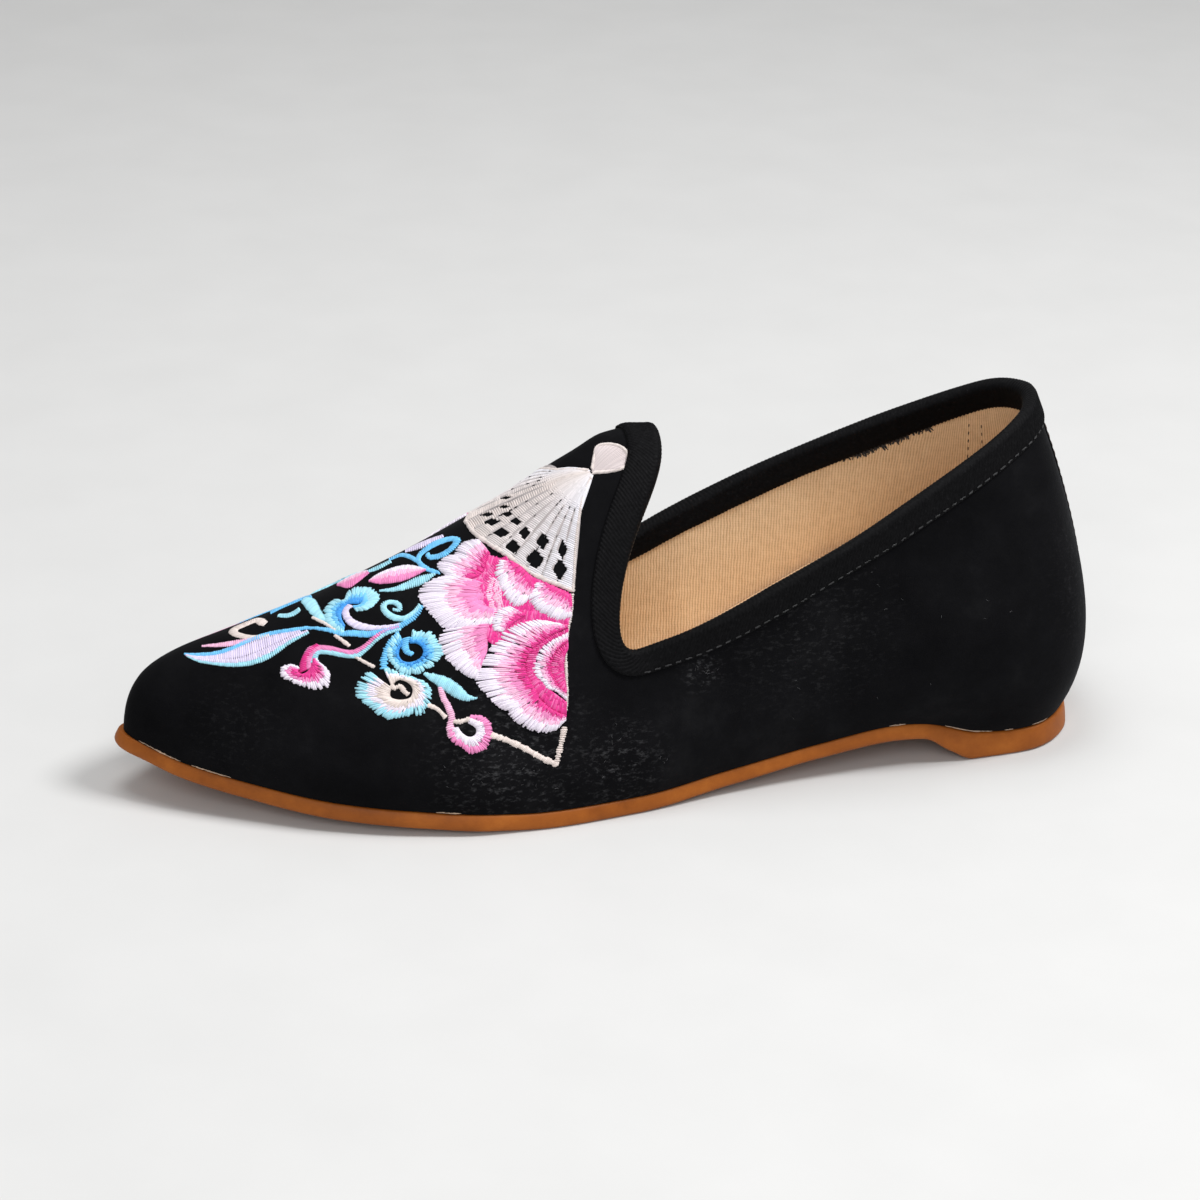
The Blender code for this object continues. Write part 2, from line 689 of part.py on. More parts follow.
def make_binding(keys, outside, inside, faces, normals):
    """Folded ribbon over the collar's edge: a channel with a leg on each face of the wall."""
    place = {key: n for n, key in enumerate(keys)}
    outer = (BVHTree.FromPolygons(outside, faces), outside)
    inner = (BVHTree.FromPolygons(inside, faces), inside)
    loop = [place[key] for key in topline_keys()]
    vertex_normals = [normals[key] for key in keys]
    stations = []
    for n, here in enumerate(loop):
        after = loop[(n + 1) % len(loop)]
        for t in (0.0, 0.5):
            stations.append((outside[here].lerp(outside[after], t),
                             inside[here].lerp(inside[after], t),
                             vertex_normals[here].lerp(vertex_normals[after], t).normalized()))

    def on_surface(face, point, out):
        tree, corners = face
        spot, _, number, _ = tree.find_nearest(point)
        weights = [1.0 / ((corners[n] - spot).length + 1e-5) for n in faces[number]]
        normal = Vector((0.0, 0.0, 0.0))
        for n, weight in zip(faces[number], weights):
            normal += weight * vertex_normals[n]
        return spot, normal.normalized() * out

    points, rings = [], []
    count = len(stations)
    skin = GAP + BINDING_THICK

    def inward(n):
        """Direction in the surface that points from the edge into the cloth."""
        tangent = stations[(n + 1) % count][0] - stations[n - 1][0]
        return tangent.cross(stations[n][2]).normalized()

    turn = -1.0 if inward(count // 2).z > 0.0 else 1.0
    for n, (edge, lining, normal) in enumerate(stations):
        down = inward(n) * turn
        outer_leg, inner_leg = [
            [on_surface(face, start + down * BINDING_LEG * share, out) for share in (1.0, 0.5)]
            for face, start, out in ((outer, edge, 1.0), (inner, lining, -1.0))]
        ring = [spot + face_normal * skin for spot, face_normal in outer_leg]
        ring.append(edge + normal * skin)
        ring.append(edge + normal * 0.5 * skin - down * skin)
        ring.append(lining - normal * 0.5 * skin - down * skin)
        ring.append(lining - normal * skin)
        ring += [spot + face_normal * skin for spot, face_normal in reversed(inner_leg)]
        ring += [spot + face_normal * GAP for spot, face_normal in inner_leg]
        ring.append(lining - normal * GAP - down * GAP)
        ring.append(edge + normal * GAP - down * GAP)
        ring += [spot + face_normal * GAP for spot, face_normal in reversed(outer_leg)]
        start = len(points)
        points += ring
        rings.append(list(range(start, start + len(ring))))
    walls = []
    for n, ring in enumerate(rings):
        after = rings[(n + 1) % count]
        for i in range(len(ring)):
            j = (i + 1) % len(ring)
            walls.append([ring[i], ring[j], after[j], after[i]])
    return new_object("topline_binding", points, walls, new_material("ribbon", RIBBON, 0.7))


def centre_on_floor(things):
    """Put the origin under the middle of the whole shoe's box; the sole already stands at 0."""
    spots = [vertex.co for thing in things for vertex in thing.data.vertices]
    middle = Vector((0.5 * (min(p.x for p in spots) + max(p.x for p in spots)),
                     0.5 * (min(p.y for p in spots) + max(p.y for p in spots)), 0.0))
    for thing in things:
        for vertex in thing.data.vertices:
            vertex.co -= middle


def main():
    for thing in list(bpy.data.objects):
        bpy.data.objects.remove(thing)
    outsole = make_outsole()
    insole = make_insole()
    upper, shell = make_upper()
    binding = make_binding(*shell)
    centre_on_floor([outsole, insole, upper, binding])


main()
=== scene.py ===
"""Left embroidered cloth shoe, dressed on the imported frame.

The same outline, crown and collar lines as the solids carry dense skins: black cloth, tan
lining, folded ribbon, rubber sole, and threads laid one by one on the vamp.
"""
import math
import random
from collections import namedtuple

import bmesh
import bpy
import numpy as np
from mathutils import Matrix, Vector
from mathutils.bvhtree import BVHTree


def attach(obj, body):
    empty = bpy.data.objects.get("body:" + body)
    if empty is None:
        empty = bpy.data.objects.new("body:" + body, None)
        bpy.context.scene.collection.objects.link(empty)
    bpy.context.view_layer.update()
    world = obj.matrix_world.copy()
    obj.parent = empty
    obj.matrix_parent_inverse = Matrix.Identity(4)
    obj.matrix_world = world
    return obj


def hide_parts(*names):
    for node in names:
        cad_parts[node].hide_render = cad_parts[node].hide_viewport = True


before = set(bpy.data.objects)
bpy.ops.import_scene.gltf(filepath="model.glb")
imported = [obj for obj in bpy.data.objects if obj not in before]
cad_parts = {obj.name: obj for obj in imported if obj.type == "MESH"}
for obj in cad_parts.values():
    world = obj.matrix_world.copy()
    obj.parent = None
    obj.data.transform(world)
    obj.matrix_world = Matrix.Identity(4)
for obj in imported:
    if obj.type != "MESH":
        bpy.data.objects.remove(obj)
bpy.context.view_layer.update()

MM = 0.001

# The solids' own sizes, in metres
SOLE_LENGTH = 0.252
BALL_OUTER = 0.0433
BALL_INNER = 0.0372
SOLE_THICK = 0.0042
HEEL_THICK = 0.0064
TOE_SPRING = 0.0128
SHANK_RISE = 0.0082
SOLE_DRAFT = 0.0009
SOLE_EDGE = 0.0011
WALL = 0.0018
GAP = 0.0003
FEATHER_INSET = 0.0011
TAB_HEIGHT = 0.0860
TAB_TIP = 0.0125
TAB_LENGTH = 0.0240
TAB_SHOULDER = 0.524
TAB_BLUNT = 4.0
SEAM_FOOT = -0.0220
RIDGE_SHIFT = 0.0040
THROAT_HEIGHT = 0.0375
THROAT_ROUND = 40
BACK_HEIGHT = 0.0912
HEEL_LEAN = 0.0145
COLLAR_HALF = 0.0317
HEEL_BULGE = 0.0052
SIDE_BULGE = 0.0022
SWELL_HEIGHT = 0.25
HEEL_CURVE = 3.0
SIDE_CURVE = 1.6
QUARTER_BLEND = 0.0250
BINDING_LEG = 0.0074
BINDING_THICK = 0.0008
TOE_POLE = 0.14
HEEL_POLE = 0.872
TOE_FADE = 0.25
RIDGE_START = 0.20
RIDGE_FULL = 0.42
HEEL_START = 0.70
HEEL_FULL = 0.90
MIDDLE = Vector((0.001885, -0.003095, 0.0))   # middle of the shoe's box, from the sole's middle

Sole = namedtuple("Sole", "along outer inner spring arch waist seat")
SOLE = [
    Sole(0.000, 0.000, 0.000, 1.00, 0.00, 0.00, 0.00),
    Sole(0.020, 0.180, 0.190, 0.89, 0.00, 0.00, 0.00),
    Sole(0.060, 0.360, 0.400, 0.66, 0.00, 0.00, 0.00),
    Sole(0.120, 0.560, 0.640, 0.45, 0.00, 0.00, 0.00),
    Sole(0.200, 0.790, 0.870, 0.25, 0.00, 0.00, 0.00),
    Sole(0.280, 0.935, 0.985, 0.15, 0.00, 0.00, 0.00),
    Sole(0.350, 1.000, 1.000, 0.06, 0.00, 0.00, 0.00),
    Sole(0.400, 0.998, 0.965, 0.00, 0.00, 0.00, 0.00),
    Sole(0.500, 0.925, 0.850, 0.00, 0.00, 0.00, 0.00),
    Sole(0.600, 0.806, 0.760, 0.00, 0.29, 0.28, 0.00),
    Sole(0.700, 0.735, 0.735, 0.00, 0.73, 0.70, 0.00),
    Sole(0.780, 0.708, 0.745, 0.00, 1.00, 1.00, 0.00),
    Sole(0.810, 0.700, 0.750, 0.00, 0.95, 0.92, 0.15),
    Sole(0.840, 0.690, 0.750, 0.00, 0.42, 0.52, 0.60),
    Sole(0.868, 0.678, 0.742, 0.00, 0.00, 0.13, 1.00),
    Sole(0.930, 0.640, 0.700, 0.00, 0.00, 0.00, 1.00),
    Sole(0.980, 0.440, 0.490, 0.00, 0.00, 0.04, 1.00),
    Sole(1.000, 0.000, 0.000, 0.00, 0.00, 0.10, 1.00),
]
Crown = namedtuple("Crown", "along rise n m")
CROWN = [
    Crown(0.000, 0.000, 2.2, 2.0),
    Crown(0.020, 0.190, 2.2, 2.0),
    Crown(0.060, 0.290, 2.2, 1.9),
    Crown(0.120, 0.370, 2.2, 1.8),
    Crown(0.200, 0.480, 2.1, 1.6),
    Crown(0.300, 0.630, 2.0, 1.35),
    Crown(0.400, 0.810, 2.0, 1.15),
    Crown(0.480, 0.962, 2.0, 1.05),
    Crown(0.520, 0.995, 2.0, 1.0),
    Crown(0.550, 1.000, 2.0, 1.0),
    Crown(0.700, 1.000, 2.0, 1.0),
    Crown(1.000, 1.000, 2.0, 1.0),
]
Collar = namedtuple("Collar", "along half climb")
COLLAR = [
    Collar(0.000, 0.800, 0.000),
    Collar(0.095, 0.880, 0.028),
    Collar(0.195, 0.960, 0.114),
    Collar(0.295, 1.000, 0.222),
    Collar(0.390, 0.987, 0.330),
    Collar(0.490, 0.945, 0.440),
    Collar(0.595, 0.875, 0.552),
    Collar(0.690, 0.785, 0.660),
    Collar(0.790, 0.670, 0.768),
    Collar(0.890, 0.520, 0.878),
    Collar(0.960, 0.345, 0.958),
    Collar(1.000, 0.000, 1.000),
]
TOE_COLUMNS = 8
VAMP_COLUMNS = 17
SIDE_COLUMNS = 22
HEEL_COLUMNS = 7
ROWS = 16
WALL_ROWS = 8
FOOT_SPACING = 1.15
TOP_SPACING = 1.45
TAB_SPACING = 1.1
THROAT_REACH = 4
HALVINGS = 40
OUTER, INNER = -1, 1


# Surfaces shared with the solids

def blend(a, b, t):
    return a + (b - a) * t


def soft_step(t):
    t = min(max(t, 0.0), 1.0)
    return t * t * (3.0 - 2.0 * t)


def end_ease(share):
    return math.acos(1.0 - 2.0 * min(max(share, 0.0), 1.0)) / math.pi


def make_reader(table):
    places = [end_ease(row.along) for row in table]
    curves = {}
    for name in table[0]._fields[1:]:
        values = [getattr(row, name) for row in table]
        steps = [places[i + 1] - places[i] for i in range(len(places) - 1)]
        slopes = [(values[i + 1] - values[i]) / steps[i] for i in range(len(steps))]
        tangents = [slopes[0]]
        for i in range(1, len(slopes)):
            before, after = slopes[i - 1], slopes[i]
            if before * after <= 0.0:
                tangents.append(0.0)
                continue
            w1 = 2.0 * steps[i] + steps[i - 1]
            w2 = steps[i] + 2.0 * steps[i - 1]
            tangents.append((w1 + w2) / (w1 / before + w2 / after))
        tangents.append(slopes[-1])
        curves[name] = (values, tangents)

    def read(name, share):
        values, tangents = curves[name]
        place = end_ease(share)
        i = 0
        while i < len(places) - 2 and place > places[i + 1]:
            i += 1
        step = places[i + 1] - places[i]
        t = (place - places[i]) / step
        return ((1 + 2 * t) * (1 - t) ** 2 * values[i] + t * (1 - t) ** 2 * step * tangents[i]
                + t * t * (3 - 2 * t) * values[i + 1] + t * t * (t - 1) * step * tangents[i + 1])

    return read


read_sole = make_reader(SOLE)
read_crown = make_reader(CROWN)
read_collar = make_reader(COLLAR)


def sole_share(x):
    return x / SOLE_LENGTH + 0.5


def sole_x(share):
    return (share - 0.5) * SOLE_LENGTH


def outline(side, x, inset=0.0):
    share = (x + 0.5 * SOLE_LENGTH - inset) / (SOLE_LENGTH - 2.0 * inset)
    name, ball = ("outer", BALL_OUTER) if side == OUTER else ("inner", BALL_INNER)
    return read_sole(name, share) * (ball - inset)


def sole_under(x):
    share = sole_share(x)
    return read_sole("spring", share) * TOE_SPRING + read_sole("arch", share) * SHANK_RISE


def sole_top(x):
    share = sole_share(x)
    seat = read_sole("seat", share)
    return (SOLE_THICK + read_sole("spring", share) * TOE_SPRING
            + read_sole("waist", share) * SHANK_RISE + seat * (HEEL_THICK - SOLE_THICK))


def feather_z(x):
    return sole_top(x) + GAP


def feather_half(side, x):
    return outline(side, x, FEATHER_INSET)


def crown_z(x):
    rise = read_crown("rise", (x + 0.5 * SOLE_LENGTH - FEATHER_INSET)
                      / (SOLE_LENGTH - 2.0 * FEATHER_INSET))
    return feather_z(x) + rise * (TAB_HEIGHT - feather_z(TAB_TIP))


def ridge_y(x):
    return RIDGE_SHIFT * soft_step((sole_share(x) - RIDGE_START) / (RIDGE_FULL - RIDGE_START))


def throat_rho():
    low, high = 0.0, 1.0
    for _ in range(HALVINGS):
        rho = 0.5 * (low + high)
        if section_y(OUTER, tab_edge_x(rho), rho)[1] > THROAT_HEIGHT:
            low = rho
        else:
            high = rho
    return 0.5 * (low + high)


def tab_edge_x(rho):
    return TAB_TIP - TAB_LENGTH * (1.0 - math.exp(-(rho / TAB_SHOULDER) ** TAB_BLUNT))


def collar_share(x):
    back = 0.5 * SOLE_LENGTH - HEEL_LEAN
    return (x - THROAT_X) / (back - THROAT_X)


def collar_half(x):
    return read_collar("half", collar_share(x)) * COLLAR_HALF


def collar_z(x):
    share = collar_share(x)
    return THROAT_HEIGHT + read_collar("climb", share) * (BACK_HEIGHT - THROAT_HEIGHT)


def swell(v):
    v = min(max(v, 0.0), 1.0)
    fade = 1.0 / SWELL_HEIGHT - 1.0
    return v * (1.0 - v) ** fade / (SWELL_HEIGHT * (1.0 - SWELL_HEIGHT) ** fade)


def wall_run(x, foot, top, v):
    heel = soft_step((sole_share(x) - HEEL_START) / (HEEL_FULL - HEEL_START))
    lean = blend(SIDE_CURVE, HEEL_CURVE, heel)
    swollen = blend(SIDE_BULGE, HEEL_BULGE, heel) * swell(v)
    return foot + (top - foot) * max(v, 0.0) ** lean + swollen


def quarter_y(side, x, z):
    low = feather_z(x)
    v = (z - low) / (collar_z(x) - low)
    return wall_run(x, feather_half(side, x), collar_half(x), v)


def section_y(side, x, rho):
    share = sole_share(x)
    n, m = read_crown("n", share), read_crown("m", share)
    low = feather_z(x)
    q = (1.0 - min(rho, 1.0) ** n) ** (1.0 / m)
    z = low + (crown_z(x) - low) * q
    toe = soft_step(share / TOE_FADE)
    half = feather_half(side, x) * rho + SIDE_BULGE * toe * swell(q)
    return ridge_y(x) * q + side * half, z


THROAT_RHO = throat_rho()
THROAT_X = tab_edge_x(THROAT_RHO)


def last_section_x(rho):
    if rho <= THROAT_RHO:
        return tab_edge_x(rho)
    return blend(THROAT_X, SEAM_FOOT, (rho - THROAT_RHO) / (1.0 - THROAT_RHO))


def seam_x(z):
    low = feather_z(SEAM_FOOT)
    climb = min(max((z - low) / (THROAT_HEIGHT - low), 0.0), 1.0)
    return blend(SEAM_FOOT, THROAT_X, climb)


def wall_y(side, x, z):
    quarter = soft_step((x - seam_x(z)) / QUARTER_BLEND)
    if quarter >= 1.0:
        return side * quarter_y(side, x, z)
    low, high = 0.0, 1.0
    for _ in range(HALVINGS):
        rho = 0.5 * (low + high)
        if section_y(side, x, rho)[1] > z:
            low = rho
        else:
            high = rho
    y = section_y(side, x, 0.5 * (low + high))[0]
    if quarter > 0.0:
        y = blend(y, side * quarter_y(side, x, z), quarter)
    return y


def reach(half_width, base_x, direction):
    dx, dy = direction
    side = OUTER if dy < 0.0 else INNER
    low, high = 0.0, 0.5 * SOLE_LENGTH
    for _ in range(HALVINGS):
        r = 0.5 * (low + high)
        if half_width(side, base_x + dx * r) > abs(dy) * r:
            low = r
        else:
            high = r
    return 0.5 * (low + high)


def pole_direction(side, turn, facing):
    angle = 0.5 * math.pi * turn
    return facing * math.cos(angle), side * math.sin(angle)


def vamp_rows():
    throat = math.acos(THROAT_RHO)
    rows = []
    for i in range(ROWS + 1):
        if i <= WALL_ROWS:
            angle = throat * i / WALL_ROWS
        else:
            up = (i - WALL_ROWS) / (ROWS - WALL_ROWS)
            angle = blend(throat, 0.5 * math.pi, up ** TAB_SPACING)
        rows.append(math.cos(angle))
    return rows


def upper_grid():
    """Outside points of the upper, keyed so that neighbouring patches share their seams."""
    points, cells = {}, []
    rho = vamp_rows()
    toe, heel = sole_x(TOE_POLE), sole_x(HEEL_POLE)

    def vamp_key(side, j, i):
        if j == 0:
            return ("front", i) if i < ROWS else ("crown", 0)
        if i == ROWS:
            return ("crown", max(j - TOE_COLUMNS, 0))
        return ("vamp", side, j, i)

    for side in (OUTER, INNER):
        for j in range(TOE_COLUMNS + VAMP_COLUMNS + 1):
            for i in range(ROWS + 1):
                if j <= TOE_COLUMNS:
                    dx, dy = pole_direction(side, j / TOE_COLUMNS, -1)
                    r = reach(feather_half, toe, (dx, dy)) * rho[i]
                    x = toe + dx * r
                    half = feather_half(side, x)
                    across = min(abs(dy) * r / half, 1.0) if half > 1e-9 else 0.0
                    if i == 0:
                        across = 1.0
                else:
                    u = (j - TOE_COLUMNS) / VAMP_COLUMNS
                    x = blend(toe, last_section_x(rho[i]), u)
                    across = rho[i]
                y, z = section_y(side, x, across)
                if j == 0 or i == ROWS:
                    y = ridge_y(x) if i == ROWS else 0.0
                points[vamp_key(side, j, i)] = Vector((x, y, z))
        for j in range(TOE_COLUMNS + VAMP_COLUMNS):
            for i in range(ROWS):
                ring = [vamp_key(side, j, i), vamp_key(side, j + 1, i),
                        vamp_key(side, j + 1, i + 1), vamp_key(side, j, i + 1)]
                cells.append([k for n, k in enumerate(ring) if k != ring[n - 1]])

    def side_key(side, k, i):
        if k == 0:
            return vamp_key(side, TOE_COLUMNS + VAMP_COLUMNS, i)
        if k == SIDE_COLUMNS + HEEL_COLUMNS:
            return ("back", i)
        return ("side", side, k, i)

    for side in (OUTER, INNER):
        seam = [points[side_key(side, 0, i)] for i in range(WALL_ROWS + 1)]
        climb = [(p.z - seam[0].z) / (seam[-1].z - seam[0].z) for p in seam]
        for k in range(1, SIDE_COLUMNS + HEEL_COLUMNS + 1):
            u = min(k / SIDE_COLUMNS, 1.0)
            foot_x = blend(seam[0].x, heel, u ** FOOT_SPACING)
            top_x = blend(seam[-1].x, heel, u ** TOP_SPACING)
            turn = max(k - SIDE_COLUMNS, 0) / HEEL_COLUMNS
            direction = pole_direction(side, 1.0 - turn, 1)
            for i in range(WALL_ROWS + 1):
                v = climb[i]
                if k <= SIDE_COLUMNS:
                    x = blend(foot_x, top_x, v)
                    z = blend(feather_z(foot_x), collar_z(top_x), v)
                    points[side_key(side, k, i)] = Vector((x, wall_y(side, x, z), z))
                    continue
                foot = reach(feather_half, heel, direction)
                top = reach(lambda s, x: collar_half(x), heel, direction)
                low = feather_z(heel + direction[0] * foot)
                high = collar_z(heel + direction[0] * top)
                r = wall_run(heel + direction[0] * foot, foot, top, v)
                points[side_key(side, k, i)] = Vector((
                    heel + direction[0] * r, direction[1] * r, blend(low, high, v)))
        for k in range(SIDE_COLUMNS + HEEL_COLUMNS):
            for i in range(WALL_ROWS):
                cells.append([side_key(side, k, i), side_key(side, k + 1, i),
                              side_key(side, k + 1, i + 1), side_key(side, k, i + 1)])
    round_throat(points)
    return points, cells


def topline_keys():
    half = []
    last = TOE_COLUMNS + VAMP_COLUMNS
    for side in (OUTER, INNER):
        run = [("crown", VAMP_COLUMNS)]
        run += [("vamp", side, last, i) for i in range(ROWS - 1, WALL_ROWS - 1, -1)]
        run += [("side", side, k, WALL_ROWS) for k in range(1, SIDE_COLUMNS + HEEL_COLUMNS)]
        run.append(("back", WALL_ROWS))
        half.append(run)
    return half[0] + half[1][-2:0:-1]


def round_throat(points):
    loop = topline_keys()
    for side_key in [key for key in loop if key[0] == "vamp" and key[-1] == WALL_ROWS]:
        middle = loop.index(side_key)
        for _ in range(THROAT_ROUND):
            spots = {}
            for n in range(middle - THROAT_REACH, middle + THROAT_REACH + 1):
                fade = 1.0 - abs(n - middle) / (THROAT_REACH + 1)
                here, before, after = points[loop[n]], points[loop[n - 1]], points[loop[n + 1]]
                spots[n] = here.lerp(0.5 * (before + after), 0.5 * fade)
            for n, spot in spots.items():
                points[loop[n]] = spot

# Helpers

CLOTH_EDGE, THREAD_EDGE = 40.0, 75.0    # an edge sharper than this, in degrees, isn't smoothed
OUTER_CLOTH, INNER_CLOTH = "upper_cloth", "insole_cloth"


def add_piece(name, points, faces, material, slot, stands_for=(), sharp=CLOTH_EDGE):
    """A mesh piece in the shoe's own frame; points are in the sole's frame, in metres."""
    mesh = bpy.data.meshes.new(name)
    shifted = np.asarray(points, dtype=np.float64) - np.array(MIDDLE)
    mesh.from_pydata(shifted.tolist(), [], faces)
    mesh.update()
    mesh.shade_smooth()
    if sharp is not None:
        mesh.set_sharp_from_angle(angle=math.radians(sharp))
    mesh.materials.append(material)
    thing = bpy.data.objects.new(name, mesh)
    bpy.context.scene.collection.objects.link(thing)
    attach(thing, "root")
    if stands_for:
        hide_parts(*stands_for)
    return thing


def grid_faces(rows, columns, closed=False):
    """Quads of a grid of points, row after row; closed joins the last row and column too."""
    faces = []
    for r in range(rows if closed else rows - 1):
        s = (r + 1) % rows
        for c in range(columns if closed else columns - 1):
            d = (c + 1) % columns
            faces.append((r * columns + c, r * columns + d, s * columns + d, s * columns + c))
    return faces


def spoke_faces(spokes, count, flip=False):
    """Quads between neighbouring spokes, each a column of points, all the way round."""
    faces = []
    for n in range(spokes):
        here, after = n * count, (n + 1) % spokes * count
        for k in range(count - 1):
            a, b, c, d = here + k, here + k + 1, after + k + 1, after + k
            faces.append((a, d, c, b) if flip else (a, b, c, d))
    return faces


def tree_of(points, faces):
    return BVHTree.FromPolygons(np.asarray(points).tolist(), faces)


def unit(vectors):
    return vectors / np.linalg.norm(vectors, axis=1)[:, None]


def run_along(line):
    """Distance of each point from the line's start, along it."""
    return np.concatenate([[0.0], np.cumsum(np.linalg.norm(np.diff(line, axis=0), axis=1))])


def new_material(name, colour, roughness, **sockets):
    """A Principled material; underscores in a socket's name stand for spaces."""
    material = bpy.data.materials.new(name)
    material.use_nodes = True
    sockets.update(Base_Color=(*colour, 1.0), Roughness=roughness)
    for socket, value in sockets.items():
        shader_input(material, socket.replace("_", " ")).default_value = value
    return material


def shader_input(material, socket):
    return material.node_tree.nodes["Principled BSDF"].inputs[socket]


def link(material, source, target):
    material.node_tree.links.new(source, target)


def add_node(material, kind, feed=None, **settings):
    """A node with its settings; feed gives the outputs that its inputs take."""
    node = material.node_tree.nodes.new(kind)
    for key, value in settings.items():
        if hasattr(node, key):
            setattr(node, key, value)
        else:
            node.inputs[key.replace("_", " ")].default_value = value
    for socket, source in (feed or {}).items():
        link(material, source, node.inputs[socket])
    return node


def object_place(material):
    return add_node(material, "ShaderNodeTexCoord").outputs["Object"]


def noise(material, place, scale, detail, roughness=0.5):
    return add_node(material, "ShaderNodeTexNoise", {"Vector": place}, Scale=scale,
                    Detail=detail, Roughness=roughness).outputs["Fac"]


def map_range(material, value, **settings):
    return add_node(material, "ShaderNodeMapRange", {"Value": value}, **settings).outputs["Result"]


def calculate(material, operation, *terms):
    """A Math node; each term is another node's output or a number."""
    node = add_node(material, "ShaderNodeMath", operation=operation)
    for socket, term in zip(node.inputs, terms):
        if isinstance(term, float):
            socket.default_value = term
        else:
            link(material, term, socket)
    return node.outputs["Value"]


def ramp(material, factor, stops):
    """Colour ramp through stops of place and colour."""
    node = add_node(material, "ShaderNodeValToRGB", {"Fac": factor})
    elements = node.color_ramp.elements
    while len(elements) < len(stops):
        elements.new(0.5)
    for element, (place, colour) in zip(elements, stops):
        element.position = place
        element.color = (*colour, 1.0)
    return node.outputs["Color"]


def add_bumps(material, *bumps):
    """Joins bumps of height, strength and distance in a row, into the shader's normal."""
    feed = {}
    for height, strength, distance in bumps:
        node = add_node(material, "ShaderNodeBump", {"Height": height, **feed},
                        Strength=strength, Distance=distance)
        feed = {"Normal": node.outputs["Normal"]}
    link(material, feed["Normal"], shader_input(material, "Normal"))


# Materials

# Places where the nap is rubbed, the last also a painted sheen along the heel's back edge: spot and
# radius in millimetres in the sole's frame, strength
RUBBED_AND_SHEEN = (
    ((-32.0, -38.5, 19.0), 30.0, 0.80),
    ((-5.0, -40.0, 14.0), 18.0, 0.70),
    ((17.0, -33.0, 35.0), 8.0, 1.0),
    ((45.0, -32.0, 44.0), 34.0, 0.28),
    ((-95.0, -14.0, 22.0), 20.0, 0.20),
    ((-30.0, 36.0, 19.0), 26.0, 0.50),
    # rubbed nap, and a painted sheen along the heel's back edge
    ((121.0, 0.0, 42.0), 36.0, 0.60),
)
# pale specks of the rubbed nap, and at the heel's back edge a painted sheen
RUBBED_AND_SHEEN_COLOUR = (0.075, 0.075, 0.079, 1.0)
SPECK_STRETCH = (0.55, 1.0, 1.15)       # the specks are longer along the shoe
BLACK_CLOTH = (0.005, 0.005, 0.006)
NAP = ((0.30, (0.0017, 0.0017, 0.0022)), (0.55, (0.0042, 0.0042, 0.0050)),
       (0.75, (0.0095, 0.0095, 0.0105)))
FUZZ = ((0.35, (0.0020, 0.0020, 0.0024)), (0.62, (0.0055, 0.0055, 0.0062)),
        (0.80, (0.024, 0.024, 0.026)))
TAN = ((0.0, (0.50, 0.325, 0.175)), (0.5, (0.78, 0.54, 0.32)), (1.0, (0.93, 0.70, 0.46)))
BROWN = ((0.30, (0.21, 0.053, 0.005)), (0.55, (0.315, 0.087, 0.009)),
         (0.80, (0.44, 0.138, 0.018)))


def cloth_material():
    """Black napped cotton: an uneven nap, and pale specks where it is rubbed; at the heel's back
    edge they are a painted sheen.
    """
    material = new_material("black_cloth", BLACK_CLOTH, 0.9, Specular_IOR_Level=0.06,
                            Sheen_Weight=0.035, Sheen_Roughness=0.35,
                            Sheen_Tint=(0.60, 0.62, 0.68, 1.0))
    place = object_place(material)
    broad = noise(material, place, 38.0, 7.0, 0.7)
    stretched = add_node(material, "ShaderNodeVectorMath", {0: place}, operation="MULTIPLY")
    stretched.inputs[1].default_value = SPECK_STRETCH
    speck = noise(material, stretched.outputs["Vector"], 860.0, 5.0, 0.75)
    # strength of the specks: rubbed nap, and painted sheen at the heel's back edge
    rubbed_and_sheen = None
    for spot, radius, power in RUBBED_AND_SHEEN:
        away = add_node(material, "ShaderNodeVectorMath", {0: place}, operation="DISTANCE")
        away.inputs[1].default_value = tuple(Vector(spot) * MM - MIDDLE)
        fade = map_range(material, away.outputs["Value"], interpolation_type="SMOOTHSTEP",
                         From_Min=radius * MM, From_Max=0.0, To_Max=power)
        rubbed_and_sheen = fade if rubbed_and_sheen is None else calculate(material, "MAXIMUM", rubbed_and_sheen, fade)
    level = map_range(material, speck, From_Min=0.53, From_Max=0.72)
    mixed = add_node(material, "ShaderNodeMix", data_type="RGBA")
    link(material, calculate(material, "MULTIPLY", rubbed_and_sheen, level), mixed.inputs["Factor"])
    link(material, ramp(material, broad, NAP), mixed.inputs[6])
    mixed.inputs[7].default_value = RUBBED_AND_SHEEN_COLOUR
    link(material, mixed.outputs[2], shader_input(material, "Base Color"))
    fine = noise(material, place, 2600.0, 2.0, 0.6)
    add_bumps(material, (fine, 0.4, 0.00012), (speck, 0.3, 0.0002), (broad, 0.3, 0.0012))
    return material


def lining_material():
    """Tan ribbed cotton; the ribs follow the weave attribute, round the shoe and up its side."""
    material = new_material("tan_lining", (0.66, 0.43, 0.235), 0.92, Sheen_Weight=0.06,
                            Specular_IOR_Level=0.15)
    place = add_node(material, "ShaderNodeAttribute", attribute_name="weave").outputs["Vector"]
    ribs, weft = (
        add_node(material, "ShaderNodeTexWave", {"Vector": place}, wave_type="BANDS",
                 bands_direction=direction, Scale=scale, Distortion=distortion, Detail=2.0,
                 Detail_Scale=detail_scale).outputs["Fac"]
        for direction, scale, distortion, detail_scale in (("X", 400.0, 2.3, 0.8),
                                                           ("Y", 640.0, 2.0, 0.6)))
    slub = noise(material, place, 420.0, 5.0, 0.7)
    height = calculate(material, "MULTIPLY_ADD", weft, 0.35, ribs)
    tone = calculate(material, "MULTIPLY_ADD", slub, 1.5, height)
    level = map_range(material, tone, From_Min=0.4, From_Max=2.2)
    link(material, ramp(material, level, TAN), shader_input(material, "Base Color"))
    add_bumps(material, (height, 0.45, 0.00015), (slub, 0.3, 0.0003))
    return material


